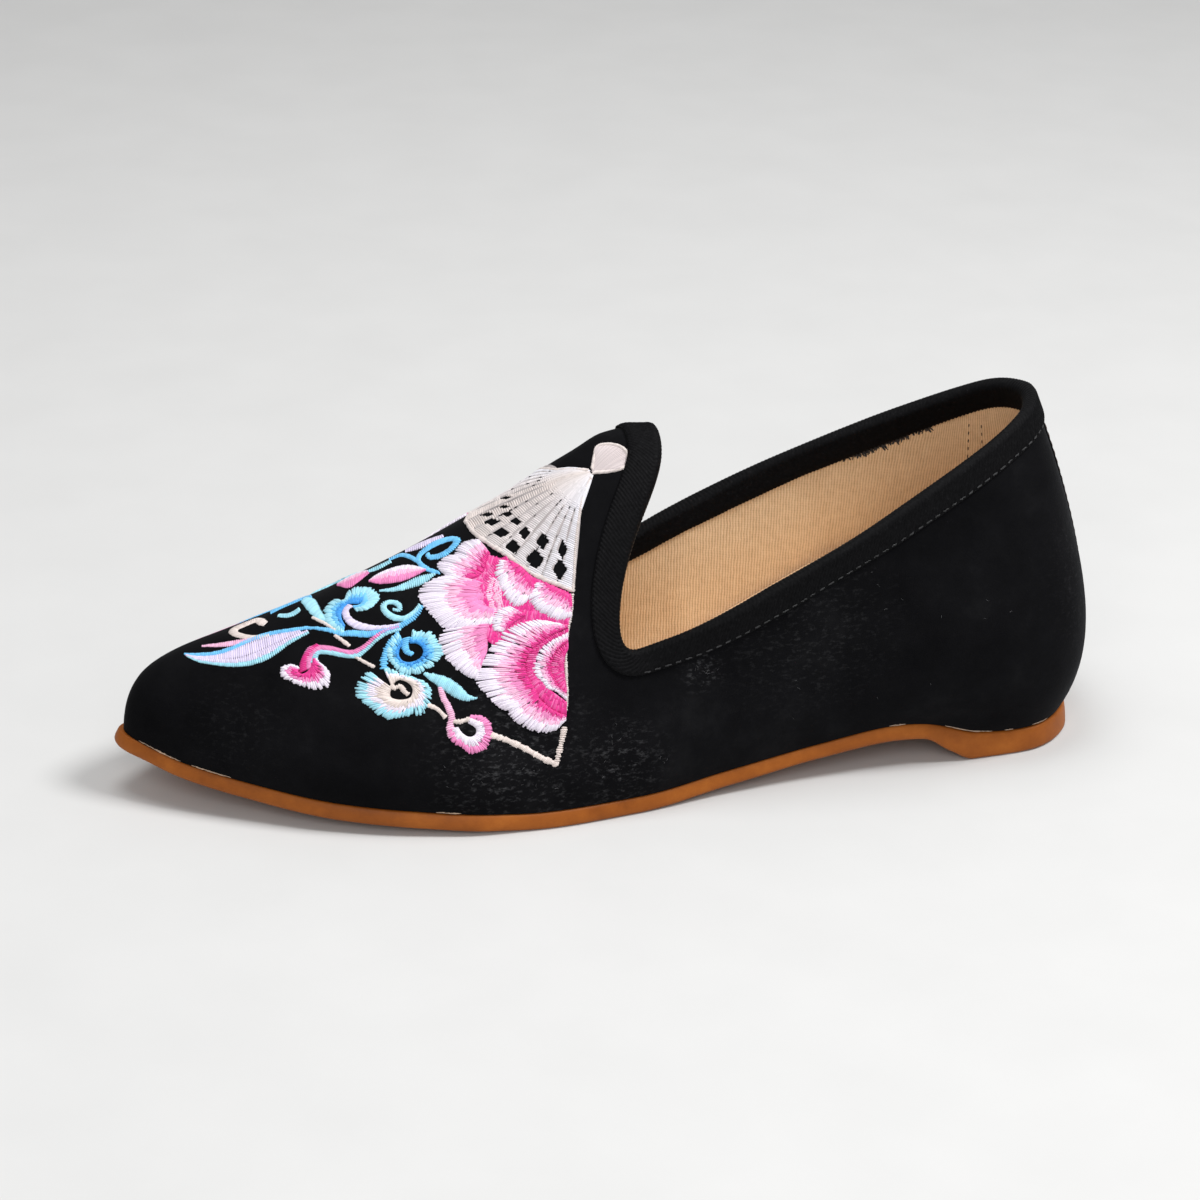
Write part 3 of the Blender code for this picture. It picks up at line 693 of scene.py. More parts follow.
def ribbon_material():
    """Black ribbon with a slight fuzz; its ribs are in the mesh."""
    material = new_material("black_ribbon", BLACK_CLOTH, 0.62, Sheen_Weight=0.02,
                            Sheen_Roughness=0.35, Specular_IOR_Level=0.06)
    fuzz = noise(material, object_place(material), 1100.0, 5.0, 0.75)
    link(material, ramp(material, fuzz, FUZZ), shader_input(material, "Base Color"))
    add_bumps(material, (fuzz, 0.5, 0.00015))
    return material


def rubber_material():
    """Brown rubber, slightly mottled, with fine scuffs and a soft shine."""
    material = new_material("brown_rubber", (0.36, 0.125, 0.028), 0.5, Specular_IOR_Level=0.22)
    place = object_place(material)
    mottle = noise(material, place, 70.0, 6.0, 0.65)
    link(material, ramp(material, mottle, BROWN), shader_input(material, "Base Color"))
    rough = map_range(material, mottle, To_Min=0.38, To_Max=0.66)
    link(material, rough, shader_input(material, "Roughness"))
    add_bumps(material, (noise(material, place, 1400.0, 3.0, 0.6), 0.3, 0.0001))
    return material


def plain_thread_material(name, colour, roughness=0.7):
    """Matt thread, lint or glue with a little uneven tone."""
    material = new_material(name, colour, roughness, Sheen_Weight=0.1, Specular_IOR_Level=0.2)
    tone = noise(material, object_place(material), 900.0, 3.0)
    dark, light = (tuple(c * f for c in colour) for f in (0.6, 1.3))
    link(material, ramp(material, tone, ((0.3, dark), (0.7, light))),
         shader_input(material, "Base Color"))
    return material


def silk_material():
    """Silky thread: each stitch has its own colour, with a soft sheen."""
    material = new_material("silk_thread", (0.8, 0.7, 0.75), 0.42, Sheen_Weight=0.15,
                            Specular_IOR_Level=0.35)
    shade = add_node(material, "ShaderNodeVertexColor", layer_name="thread")
    link(material, shade.outputs["Color"], shader_input(material, "Base Color"))
    return material


def floor_material():
    material = new_material("pale_floor", (0.67, 0.67, 0.665), 0.9)
    grain = noise(material, object_place(material), 30.0, 4.0)
    tones = ((0.3, (0.62, 0.62, 0.615)), (0.7, (0.64, 0.64, 0.635)))
    link(material, ramp(material, grain, tones), shader_input(material, "Base Color"))
    return material


cloth = cloth_material()
lining = lining_material()
ribbon = ribbon_material()
rubber = rubber_material()
black_thread = plain_thread_material("black_thread", (0.040, 0.040, 0.042))
brown_thread = plain_thread_material("brown_thread", (0.085, 0.050, 0.032))
tan_thread = plain_thread_material("tan_thread", (0.40, 0.25, 0.13))
grey_lint = plain_thread_material("grey_lint", (0.11, 0.11, 0.115))
dried_glue = plain_thread_material("dried_glue", (0.40, 0.285, 0.205), 0.5)
silk = silk_material()


# Skins of the upper

SKIN_LEVELS = 2
CLOTH_THICK = 0.0009
LINING_THICK = 0.0006


def dense_skin():
    """The upper's outside as a smooth open mesh: points and quads."""
    points, cells = upper_grid()
    index = {key: n for n, key in enumerate(points)}
    mesh = bpy.data.meshes.new("skin_base")
    mesh.from_pydata([tuple(p) for p in points.values()], [],
                     [[index[key] for key in cell] for cell in cells])
    work = bmesh.new()
    work.from_mesh(mesh)
    bmesh.ops.recalc_face_normals(work, faces=work.faces)
    work.verts.ensure_lookup_table()
    if work.verts[index[("crown", VAMP_COLUMNS)]].normal.z < 0.0:
        bmesh.ops.reverse_faces(work, faces=work.faces)
    work.to_mesh(mesh)
    work.free()
    thing = bpy.data.objects.new("skin_base", mesh)
    bpy.context.scene.collection.objects.link(thing)
    thing.modifiers.new("smooth", "SUBSURF").levels = SKIN_LEVELS
    evaluated = thing.evaluated_get(bpy.context.evaluated_depsgraph_get())
    dense = bpy.data.meshes.new_from_object(evaluated)
    quads = [tuple(face.vertices) for face in dense.polygons]
    bpy.data.objects.remove(thing)
    return mesh_points(dense), quads


def mesh_points(mesh):
    spots = np.empty(len(mesh.vertices) * 3)
    mesh.vertices.foreach_get("co", spots)
    return spots.reshape(-1, 3)


def skin_normals(points, quads):
    faces = np.array(quads)
    a, b, c, d = (points[faces[:, n]] for n in range(4))
    flat = np.cross(c - a, d - b)
    normals = np.zeros_like(points)
    for n in range(4):
        np.add.at(normals, faces[:, n], flat)
    return unit(normals)


def rim_edges(quads):
    """Edges with a face on one side only."""
    used = {(quad[n], quad[(n + 1) % 4]) for quad in quads for n in range(4)}
    return [(a, b) for a, b in used if (b, a) not in used]


# Creases: points along each in millimetres, half width, and height, below zero a
# trough. The last one fills the far shoulder of the tab.
CREASES = (
    (((4.0, -37.0, 31.0), (-10.0, -41.0, 20.0), (-24.0, -41.0, 11.0)), 3.2, -0.45),
    (((-6.0, -38.0, 33.0), (-20.0, -41.5, 22.0), (-36.0, -40.0, 14.0)), 3.4, 0.40),
    (((14.0, -34.0, 33.0), (10.0, -37.0, 22.0), (2.0, -38.5, 13.0)), 3.0, 0.30),
    (((24.0, -33.5, 40.0), (22.0, -35.0, 27.0), (25.0, -35.0, 15.0)), 3.6, -0.40),
    (((50.0, -30.5, 52.0), (52.0, -33.0, 36.0), (56.0, -32.0, 20.0)), 4.2, -0.45),
    (((72.0, -29.5, 60.0), (77.0, -31.0, 42.0), (76.0, -31.0, 24.0)), 4.5, 0.45),
    (((84.0, -31.0, 14.0), (100.0, -30.0, 13.0), (115.0, -22.0, 13.5)), 2.6, -0.45),
    (((96.0, -27.0, 66.0), (104.0, -26.0, 48.0), (104.0, -27.0, 30.0)), 4.0, -0.35),
    (((-84.0, -22.0, 26.0), (-74.0, -30.0, 22.0), (-62.0, -35.0, 17.0)), 4.2, -0.35),
    (((6.0, 37.0, 31.0), (-10.0, 39.0, 21.0), (-22.0, 39.0, 12.0)), 3.2, -0.45),
    (((-4.0, 37.0, 33.0), (-22.0, 39.0, 23.0), (-34.0, 37.0, 14.0)), 3.4, 0.40),
    (((30.0, 32.0, 42.0), (27.0, 32.0, 28.0), (30.0, 31.0, 16.0)), 3.8, -0.45),
    (((62.0, 30.0, 56.0), (66.0, 31.0, 38.0), (64.0, 31.0, 22.0)), 4.4, 0.45),
    (((86.0, 31.0, 14.0), (102.0, 29.0, 13.0), (116.0, 21.0, 13.5)), 2.6, -0.45),
    (((-80.0, 26.0, 26.0), (-70.0, 32.0, 21.0), (-60.0, 35.0, 16.0)), 4.2, -0.35),
    (((112.0, -10.0, 22.0), (117.0, 0.0, 20.0), (112.0, 10.0, 22.0)), 3.4, -0.30),
    (((1.0, 9.5, 82.3), (4.5, 9.5, 83.0)), 6.0, 1.80),
)


def creased(points, normals):
    """The skin with its creases pushed in or raised along the normals."""
    lift = np.zeros(len(points))
    for spots, half, height in CREASES:
        spots = np.array(spots) * MM
        near = np.full(len(points), 1.0)
        for a, b in zip(spots[:-1], spots[1:]):
            run = np.clip((points - a) @ (b - a) / ((b - a) @ (b - a)), 0.0, 1.0)
            gap = np.linalg.norm(points - a - run[:, None] * (b - a), axis=1)
            near = np.minimum(near, gap)
        lift += height * MM * np.exp(-(near / (half * MM)) ** 2)
    return points + lift[:, None] * normals


SKIN, QUADS = dense_skin()
SKIN = creased(SKIN, skin_normals(SKIN, QUADS))
NORMALS = skin_normals(SKIN, QUADS)
RIM = rim_edges(QUADS)
SKIN_TREE = tree_of(SKIN, QUADS)
INSIDE = SKIN - WALL * NORMALS
INSIDE_TREE = tree_of(INSIDE, QUADS)
INSIDE_FACING = tree_of(INSIDE, [tuple(reversed(quad)) for quad in QUADS])


def collar_loop():
    """Point numbers round the skin's upper open edge."""
    after = {a: b for a, b in RIM}
    loops, left = [], set(after)
    while left:
        loop, n = [], min(left)
        while n in left:
            left.discard(n)
            loop.append(n)
            n = after[n]
        loops.append(loop)
    return max(loops, key=lambda loop: np.mean(SKIN[loop][:, 2]))


COLLAR_LOOP = collar_loop()
HEEL_X = sole_x(HEEL_POLE)
HEEL_ROUND = 0.026


def shell(near, far):
    """Closed sheet between two offsets of the skin, near and far being depths inwards."""
    count = len(SKIN)
    faces = list(QUADS)
    faces += [tuple(n + count for n in reversed(quad)) for quad in QUADS]
    faces += [(b, a, a + count, b + count) for a, b in RIM]
    return np.vstack([SKIN - near * NORMALS, SKIN - far * NORMALS]), faces


def mark_weave(thing, points):
    """Stores the way round the shoe and the height, which the lining's ribs follow."""
    points = np.asarray(points)
    behind = np.arctan2(np.abs(points[:, 1]), np.maximum(points[:, 0] - HEEL_X, 0.0))
    ahead = np.maximum(HEEL_X - points[:, 0], 0.0)
    around = (HEEL_ROUND * behind + ahead) * np.sign(points[:, 1] + 1e-9)
    values = np.column_stack([around, points[:, 2], np.zeros(len(points))])
    layer = thing.data.attributes.new("weave", "FLOAT_VECTOR", "POINT")
    layer.data.foreach_set("vector", values.ravel())


add_piece("upper_cloth", *shell(0.0, CLOTH_THICK), cloth, OUTER_CLOTH, ("upper",))
lining_points, lining_faces = shell(WALL - LINING_THICK, WALL)
mark_weave(add_piece("lining", lining_points, lining_faces, lining, INNER_CLOTH), lining_points)


# A thread's section: half widths at its foot and near its top, and the height there
FOOT_WIDE, TOP_WIDE, TOP_HIGH = 1.12, 0.55, 0.96
STRAND_FROM, STRAND_TO = 0.08, 0.92     # part of the arch that a strand follows
STRAND_END, STRAND_GAIN = 0.4, 0.6      # its width at an end, and what the middle adds
FIRST_STITCH = 0.3                      # where a row of stitches starts, in pitches


def thread_mesh(points, normals, half, rise, base):
    """Low rounded strips: points and normals by strand and sample, the rest in metres."""
    count, samples = points.shape[:2]
    side = np.cross(normals, np.gradient(points, axis=1))
    side /= np.maximum(np.linalg.norm(side, axis=2), 1e-12)[..., None]
    half, rise, base = half[..., None], rise[..., None], base[..., None]
    rings = np.stack([points - side * half * FOOT_WIDE + base * normals,
                      points - side * half * TOP_WIDE + rise * TOP_HIGH * normals,
                      points + side * half * TOP_WIDE + rise * TOP_HIGH * normals,
                      points + side * half * FOOT_WIDE + base * normals], axis=2)
    faces = []
    for n in range(count):
        first = n * samples * 4
        for k in range(samples - 1):
            p, q = first + k * 4, first + (k + 1) * 4
            faces += [(p + c, q + c, q + (c + 1) % 4, p + (c + 1) % 4) for c in range(4)]
        last = first + (samples - 1) * 4
        faces += [(first, first + 1, first + 2, first + 3), (last + 3, last + 2, last + 1, last)]
    return rings.reshape(-1, 3), faces


def on_surface(tree, flat):
    """Nearest points of a surface and its normals there."""
    points, normals = np.empty_like(flat), np.empty_like(flat)
    for n, spot in enumerate(flat):
        points[n], normals[n] = tree.find_nearest(Vector(spot))[:2]
    return points, normals


def strands(name, paths, tree, material, width, rise, sink=0.05, slot=OUTER_CLOTH):
    """Threads laid on a surface: each path is a row of points, the sizes in millimetres."""
    paths = np.asarray(paths)
    points, normals = (found.reshape(paths.shape)
                       for found in on_surface(tree, paths.reshape(-1, 3)))
    width = np.broadcast_to(np.asarray(width, float), paths.shape[:1])
    arch = np.sin(math.pi * np.linspace(STRAND_FROM, STRAND_TO, paths.shape[1])) ** 0.5
    half = 0.5 * MM * width[:, None] * (STRAND_END + STRAND_GAIN * arch)[None, :]
    lift = np.broadcast_to(rise * MM * arch[None, :], half.shape)
    base = np.full(half.shape, -sink * MM)
    add_piece(name, *thread_mesh(points, normals, half, lift, base), material, slot,
              sharp=THREAD_EDGE)


def dashes(line, pitch, length, samples=4, closed=False):
    """Short runs along a line, one for each stitch."""
    ring = np.vstack([line, line[:1]]) if closed else np.asarray(line)
    run = run_along(ring)
    starts = np.arange(FIRST_STITCH * pitch, run[-1] - length, pitch)
    spots = starts[:, None] + np.linspace(0.0, length, samples)[None, :]
    return np.stack([np.interp(spots, run, ring[:, n]) for n in range(3)], axis=2)


def closed_sheet(top, bottom):
    """A closed piece between two grids of points of the same size."""
    rows, columns = top.shape[:2]
    count = rows * columns
    faces = grid_faces(rows, columns)
    faces += [tuple(n + count for n in reversed(face)) for face in faces]
    ring = [(0, c) for c in range(columns - 1)] + [(r, columns - 1) for r in range(rows - 1)]
    ring += [(rows - 1, c) for c in range(columns - 1, 0, -1)]
    ring += [(r, 0) for r in range(rows - 1, 0, -1)]
    flat = [r * columns + c for r, c in ring]
    for a, b in zip(flat, flat[1:] + flat[:1]):
        faces.append((b, a, a + count, b + count))
    return np.vstack([top.reshape(-1, 3), bottom.reshape(-1, 3)]), faces


# Folded ribbon

RIB_PITCH = 1.05 * MM
RIB_RISE = 0.18 * MM
FOLD_RISE = 0.05 * MM
RIB_SLANT = -0.70
BINDING_STATIONS = 2000
LEG_ROWS = (20, 10)                     # rows of points down the outer and the inner leg
LEG_COVER = 0.92                        # share of a leg that its rows cover, from its edge up
EDGE_THICK, EDGE_GAIN = 0.45, 3.0       # a leg's edge is thinner, and soon thickens upwards
FOLD_ANGLES = (20, 60, 90, 120, 160)
BACK_ROWS = ((1, (0, 4, -1)), (0, (-1, 9, 0)))  # leg and rows that the ribbon's back follows
BACK_GAP = 0.4
WIDTH_WINDOW, DOWN_WINDOW = 81, 41      # stations that the running means cover
TANGENT_REACH = 4
# Width of the ribbon's leg: places in millimetres, heights on the tab and x elsewhere, and shares
TAB_WIDTHS = ((38.0, 47.0, 64.0), (0.70, 0.84, 1.0))
SIDE_WIDTHS = ((-8.0, 30.0, 110.0), (0.70, 0.86, 0.95))


def resample(points):
    """Evenly spaced stations round a closed line, and its length."""
    ring = np.vstack([points, points[:1]])
    run = run_along(ring)
    spots = np.linspace(0.0, run[-1], BINDING_STATIONS, endpoint=False)
    return np.column_stack([np.interp(spots, run, ring[:, n]) for n in range(3)]), run[-1]


def smoothed(values, window):
    """Running mean round a closed line."""
    half = window // 2
    wrapped = np.concatenate([values[-half:], values, values[:half]])
    return np.convolve(wrapped, np.ones(window) / window, "valid")


def leg_lengths(edge):
    """Width of the ribbon's leg along the edge: wide at the tab, narrow round the throat."""
    on_tab = np.array([p[0] < TAB_TIP + 2.0 * MM and p[2] > collar_z(p[0]) + 3.0 * MM
                       if p[0] > THROAT_X else True for p in edge])
    tab, side = (np.interp(edge[:, n], np.array(places) * MM, shares)
                 for n, (places, shares) in ((2, TAB_WIDTHS), (0, SIDE_WIDTHS)))
    return BINDING_LEG * smoothed(np.where(on_tab, tab, side), WIDTH_WINDOW)


def leg_rows(tree, lip, down, reaches, out, shares):
    """Rows of points of a surface below the lip, with normals on the side that out faces."""
    rows = []
    for share in shares:
        row, away = on_surface(tree, np.array([lip[n] + down[n] * reaches[n] * share
                                               for n in range(BINDING_STATIONS)]))
        away[np.sum(away * out, axis=1) < 0.0] *= -1.0
        rows.append((row, away))
    return rows


def make_binding():
    """The folded ribbon's points and faces, and the rows of its outer and inner leg."""
    edge, length = resample(SKIN[COLLAR_LOOP])
    out = unit(resample(SKIN[COLLAR_LOOP] + NORMALS[COLLAR_LOOP])[0] - edge)
    tangent = np.roll(edge, -TANGENT_REACH, axis=0) - np.roll(edge, TANGENT_REACH, axis=0)
    down = unit(np.cross(tangent, out))
    if down[np.argmax(edge[:, 0]), 2] > 0.0:
        down = -down
    down = unit(np.column_stack([smoothed(down[:, n], DOWN_WINDOW) for n in range(3)]))
    lips = [edge, edge - WALL * out]
    widths = leg_lengths(edge)
    shares = [[1.0 - LEG_COVER * n / (rows - 1) for n in range(rows)] for rows in LEG_ROWS]
    legs = [leg_rows(tree, lip, down, widths, out * sign, leg_shares)
            for tree, lip, sign, leg_shares in zip((SKIN_TREE, INSIDE_TREE), lips, (1.0, -1.0),
                                                   shares)]
    run = np.arange(BINDING_STATIONS) * length / BINDING_STATIONS
    turns = round(length / RIB_PITCH)

    def raised(row, away, share, sign):
        down_run = sign * share * BINDING_LEG
        rib = RIB_RISE * np.sin(2.0 * math.pi * (turns * run / length
                                                 + RIB_SLANT * down_run / RIB_PITCH))
        thick = BINDING_THICK * min(1.0, EDGE_THICK + EDGE_GAIN * (1.0 - share))
        return row + away * (GAP + thick + rib)[:, None]

    rings = [raised(row, away, share, 1.0) for share, (row, away) in zip(shares[0], legs[0])]
    middle = 0.5 * (lips[0] + lips[1])
    ribs = (FOLD_RISE * np.sin(2.0 * math.pi * turns * run / length))[:, None]
    for angle in FOLD_ANGLES:
        a = math.radians(angle)
        rings.append(middle + out * (math.cos(a) * (0.5 * WALL + GAP + BINDING_THICK))
                     - down * (math.sin(a) * (GAP + BINDING_THICK))
                     + (out * math.cos(a) - down * math.sin(a)) * ribs)
    rings += [raised(row, away, share, -1.0)
              for share, (row, away) in reversed(list(zip(shares[1], legs[1])))]
    for leg, numbers in BACK_ROWS:
        for row, away in (legs[leg][n] for n in numbers):
            rings.append(row + away * BACK_GAP * GAP)
    return np.vstack(rings), grid_faces(len(rings), BINDING_STATIONS, closed=True), legs


binding_points, binding_faces, BINDING_LEGS = make_binding()
add_piece("collar_ribbon", binding_points, binding_faces, ribbon, "ribbon",
          ("topline_binding",), sharp=None)


# Sole and insole

SOLE_SPOKES = 560
SOLE_RINGS = 44
TREAD_DEPTH = 0.0006
TREAD_PITCH = 0.0068
TREAD_MARGIN = 0.0050
TREAD_GROOVE = 0.45
TREAD_START = 0.4                       # the tread starts this share of the margin inside
# The smooth spot at the waist: its middle, half sizes and soft edge
BARE_MIDDLE, BARE_LONG, BARE_WIDE, BARE_SOFT = 0.040, 0.032, 0.020, 0.15
EDGE_ANGLES, TOP_ANGLES = (0, 25, 50, 75, 90), (30, 60, 90)
WALL_LEVELS, TOP_LEVELS = (0.25, 0.5, 0.75, 1.0), (0.95, 0.75, 0.4, 0.0)
RIM_OVER = 0.0001                       # the side ends this far outside the top
TOP_SOFT = 0.0006                       # rounding of the sole's upper edge
WALL_PUFF = 0.00012                     # the sole's side swells by this much
TOE_PART, HEEL_PART = 0.20, 0.16        # shares of the spokes that turn about the two poles
INSOLE_SPOKES = 260
INSOLE_RINGS = 14
INSOLE_REACH = 0.06
INSOLE_LEVELS = (0.98, 0.6, 0.0)
SEAM_INSET = 0.0042
SEAM_HALF = 0.0006
SEAM_DEPTH = 0.0005
INSOLE_PUFF = 0.0003


def tread(x, y):
    """How far the sole's underside is cut up: crossing soft grooves, bare at the waist."""
    a = abs(math.sin(math.pi * (x + y) / TREAD_PITCH))
    b = abs(math.sin(math.pi * (x - y) / TREAD_PITCH))
    groove = max(0.0, 1.0 - min(a, b) / TREAD_GROOVE)
    bare = math.hypot((x - BARE_MIDDLE) / BARE_LONG, y / BARE_WIDE)
    return TREAD_DEPTH * soft_step(groove) * soft_step((bare - 1.0) / BARE_SOFT)


def spoke(number, count):
    """Spoke of the plan: base on the spine and direction, going round from the toe."""
    toe = sole_x(TOE_POLE)
    share = number / count
    side = OUTER if share <= 0.5 else INNER
    go = 2.0 * share if share <= 0.5 else 2.0 * (1.0 - share)
    if go < TOE_PART:
        return toe, pole_direction(side, go / TOE_PART, -1)
    if go > 1.0 - HEEL_PART:
        return HEEL_X, pole_direction(side, (1.0 - go) / HEEL_PART, 1)
    t = (go - TOE_PART) / (1.0 - TOE_PART - HEEL_PART)
    return blend(toe, HEEL_X, t), (0.0, float(side))


def make_sole():
    """Points and faces of the sole: tread, rounded edge, side and top on each spoke."""
    points = []
    for number in range(SOLE_SPOKES):
        base, (dx, dy) = spoke(number, SOLE_SPOKES)
        foot = reach(outline, base, (dx, dy))
        flat, rim = foot - SOLE_EDGE, foot - SOLE_DRAFT
        column = []
        for n in range(SOLE_RINGS):
            r = flat * (n / SOLE_RINGS)
            x, y = base + dx * r, dy * r
            inside = soft_step((flat - r) / TREAD_MARGIN - TREAD_START)
            column.append((r, sole_under(x) + inside * tread(x, y)))
        low, high = sole_under(base + dx * foot), sole_top(base + dx * rim)
        for a in map(math.radians, EDGE_ANGLES):
            column.append((flat + SOLE_EDGE * math.sin(a), low + SOLE_EDGE * (1.0 - math.cos(a))))
        wall_low, wall_top = low + SOLE_EDGE, high - TOP_SOFT
        for t in WALL_LEVELS:
            column.append((blend(foot, rim + RIM_OVER, t) + WALL_PUFF * math.sin(math.pi * t),
                           blend(wall_low, wall_top, t)))
        for a in map(math.radians, TOP_ANGLES):
            column.append((rim - TOP_SOFT * (1.0 - math.cos(a)),
                           wall_top + TOP_SOFT * math.sin(a)))
        for level in TOP_LEVELS:
            column.append((rim * level, sole_top(base + dx * rim * level)))
        points += [(base + dx * r, dy * r, z) for r, z in column]
    return points, spoke_faces(SOLE_SPOKES, len(column))


def weld(thing, distance=1e-7):
    work = bmesh.new()
    work.from_mesh(thing.data)
    bmesh.ops.remove_doubles(work, verts=work.verts, dist=distance)
    bmesh.ops.dissolve_degenerate(work, dist=distance, edges=work.edges)
    bmesh.ops.recalc_face_normals(work, faces=work.faces)
    work.to_mesh(thing.data)
    work.free()
    thing.data.shade_smooth()
    return thing


def mesh_tree(mesh):
    """Search tree of a piece's mesh, in the sole's frame."""
    return tree_of([tuple(v.co + MIDDLE) for v in mesh.vertices],
                   [tuple(face.vertices) for face in mesh.polygons])


def make_insole():
    """Cloth-covered insole over the wedge: dished, with a stitched seam inside its edge."""
    tree = mesh_tree(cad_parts["insole"].data)

    def top(x, y):
        return tree.ray_cast(Vector((x, y, 0.2)), Vector((0.0, 0.0, -1.0)))[0]

    def under(x, y):
        return tree.ray_cast(Vector((x, y, -0.1)), Vector((0.0, 0.0, 1.0)))[0]

    points, seam = [], []
    for number in range(INSOLE_SPOKES):
        base, (dx, dy) = spoke(number, INSOLE_SPOKES)
        low, high = 0.0, INSOLE_REACH
        for _ in range(HALVINGS // 2):
            r = 0.5 * (low + high)
            if top(base + dx * r, dy * r) is not None:
                low = r
            else:
                high = r
        edge = low - 0.0002
        groove = edge - SEAM_INSET
        radii = [groove * n / INSOLE_RINGS for n in range(INSOLE_RINGS)]
        radii += [groove - SEAM_HALF, groove, groove + SEAM_HALF]
        radii += [blend(groove + SEAM_HALF, edge - 0.0004, n / 3) for n in (1, 2)]
        column = []
        for r in radii:
            x, y = base + dx * r, dy * r
            puff = INSOLE_PUFF * math.sin(math.pi * min(max(r / max(groove, 1e-6), 0.0), 1.0))
            dent = SEAM_DEPTH * math.exp(-((r - groove) / SEAM_HALF) ** 2)
            column.append((x, y, top(x, y).z + puff - dent))
        x, y = base + dx * (edge - 0.0001), dy * (edge - 0.0001)
        column.append((x, y, top(x, y).z - 0.0003))
        column.append((base + dx * edge, dy * edge, top(x, y).z - 0.0008))
        column.append((base + dx * edge, dy * edge, under(x, y).z + 0.0003))
        for share in INSOLE_LEVELS:
            x, y = base + dx * edge * share, dy * edge * share
            column.append((x, y, under(x, y).z))
        points += column
        x, y = base + dx * groove, dy * groove
        seam.append((x, y, top(x, y).z - 0.0004))
    faces = spoke_faces(INSOLE_SPOKES, len(column), flip=True)
    cover = weld(add_piece("insole_cover", points, faces, lining, INNER_CLOTH, ("insole",),
                           sharp=None))
    shared = mesh_points(cover.data) + np.array(MIDDLE)
    mark_weave(cover, np.column_stack([shared[:, 0], shared[:, 2] * 0.0 + 1e-6, shared[:, 1]]))
    strands("insole_stitches", dashes(np.array(seam), pitch=3.0 * MM, length=2.1 * MM, closed=True),
            tree, tan_thread, width=0.45, rise=0.28, sink=0.5, slot=INNER_CLOTH)


weld(add_piece("rubber_sole", *make_sole(), rubber, "rubber", ("outsole",), sharp=None))
make_insole()


# Heel strip, heel grip, stitches round the collar, fray, lint and glue

# Across the strip: places as shares of its half width; widths and heights in millimetres
STRIP_SHARES = (-1.0, -0.96, -0.86, -0.72, -0.5, -0.25, 0.0, 0.25, 0.5, 0.72, 0.86, 0.96, 1.0)
STRIP_HALF = 5.0
STRIP_STITCH = 3.7
STRIP_ROWS = 64
STRIP_RADIUS = 29.0
STRIP_EDGE, STRIP_SIDE, STRIP_RISE = 0.02, 0.30, 0.46
GRIP_TURN = 66.0
GRIP_SEAMS = (64.0, 54.5)
GRIP_ROWS, GRIP_COLUMNS = 40, 67
GRIP_EDGE, GRIP_RISE = 0.02, 0.38
GRIP_LOW = 35.0 * MM
FRAY_FROM, FRAY_TO, FRAY_COUNT = 0.071, 0.092, 130
# Lint on the outer side: x and z of the middle, spread in millimetres, and how many
LINT = ((-32.0, 18.0, 12.0, 26), (-8.0, 16.0, 8.0, 10), (17.0, 36.0, 2.4, 9),
        (45.0, 40.0, 22.0, 10), (92.0, 44.0, 14.0, 5))
# Dried glue above the sole's edge: side, start and end along the shoe in millimetres
GLUE = ((OUTER, -121.0, -111.5), (OUTER, -109.0, -100.0), (OUTER, -52.0, -46.0),
        (OUTER, 68.5, 73.0), (OUTER, 84.0, 97.5), (OUTER, 101.0, 103.5), (OUTER, 109.5, 114.5),
        (INNER, -104.0, -96.0), (INNER, -20.0, -12.0), (INNER, 70.0, 79.0), (INNER, 93.0, 99.0))
GLUE_SAMPLES = 22


def heel_spot(tree, angle, z):
    """Point and outward normal of a surface behind the heel's pole, angle in degrees."""
    a = math.radians(angle)
    away = Vector((math.cos(a), math.sin(a), 0.0))
    found, normal, _, _ = tree.ray_cast(Vector((HEEL_X, 0.0, z)), away)
    return np.array(found), np.array(normal if normal.dot(away) > 0.0 else -normal)


def heel_line(tree, angle, heights, rise):
    """Line up a surface behind the pole, rise being in millimetres outwards."""
    found = [heel_spot(tree, angle, z) for z in heights]
    return [spot + normal * rise * MM for spot, normal in found]


def heel_patch(tree, angles, rows, height, rise, depth):
    """Raised patch behind the pole; height and rise are functions, depth is its underside."""
    top, under = [], []
    for i in range(rows):
        found = [heel_spot(tree, angle, height(i, angle)) for angle in angles]
        top.append([spot + normal * rise(i, j) * MM for j, (spot, normal) in enumerate(found)])
        under.append([spot + normal * depth * MM for spot, normal in found])
    return np.array(top), np.array(under)


def make_heel_strip():
    heights = np.linspace(feather_z(0.5 * SOLE_LENGTH) + 0.6 * MM, BACK_HEIGHT - 4.0 * MM,
                          STRIP_ROWS)
    last = len(STRIP_SHARES) - 1

    def rise(i, j):
        if j in (0, last) or i in (0, STRIP_ROWS - 1):
            return STRIP_EDGE
        return STRIP_SIDE if j in (1, last - 1) else STRIP_RISE

    angles = np.degrees(np.array(STRIP_SHARES) * STRIP_HALF / STRIP_RADIUS)
    patch = heel_patch(SKIN_TREE, angles, STRIP_ROWS, lambda i, _: heights[i], rise,
                       depth=-0.2)
    strip = add_piece("heel_strip", *closed_sheet(*patch), cloth, OUTER_CLOTH)
    rows = []
    for side in (OUTER, INNER):
        angle = math.degrees(side * STRIP_STITCH / STRIP_RADIUS)
        line = heel_line(SKIN_TREE, angle, heights[1:-1], rise=0.40)
        rows.append(dashes(line, pitch=2.6 * MM, length=1.7 * MM))
    strands("heel_strip_stitches", np.vstack(rows), mesh_tree(strip.data), brown_thread,
            width=0.36, rise=0.16)


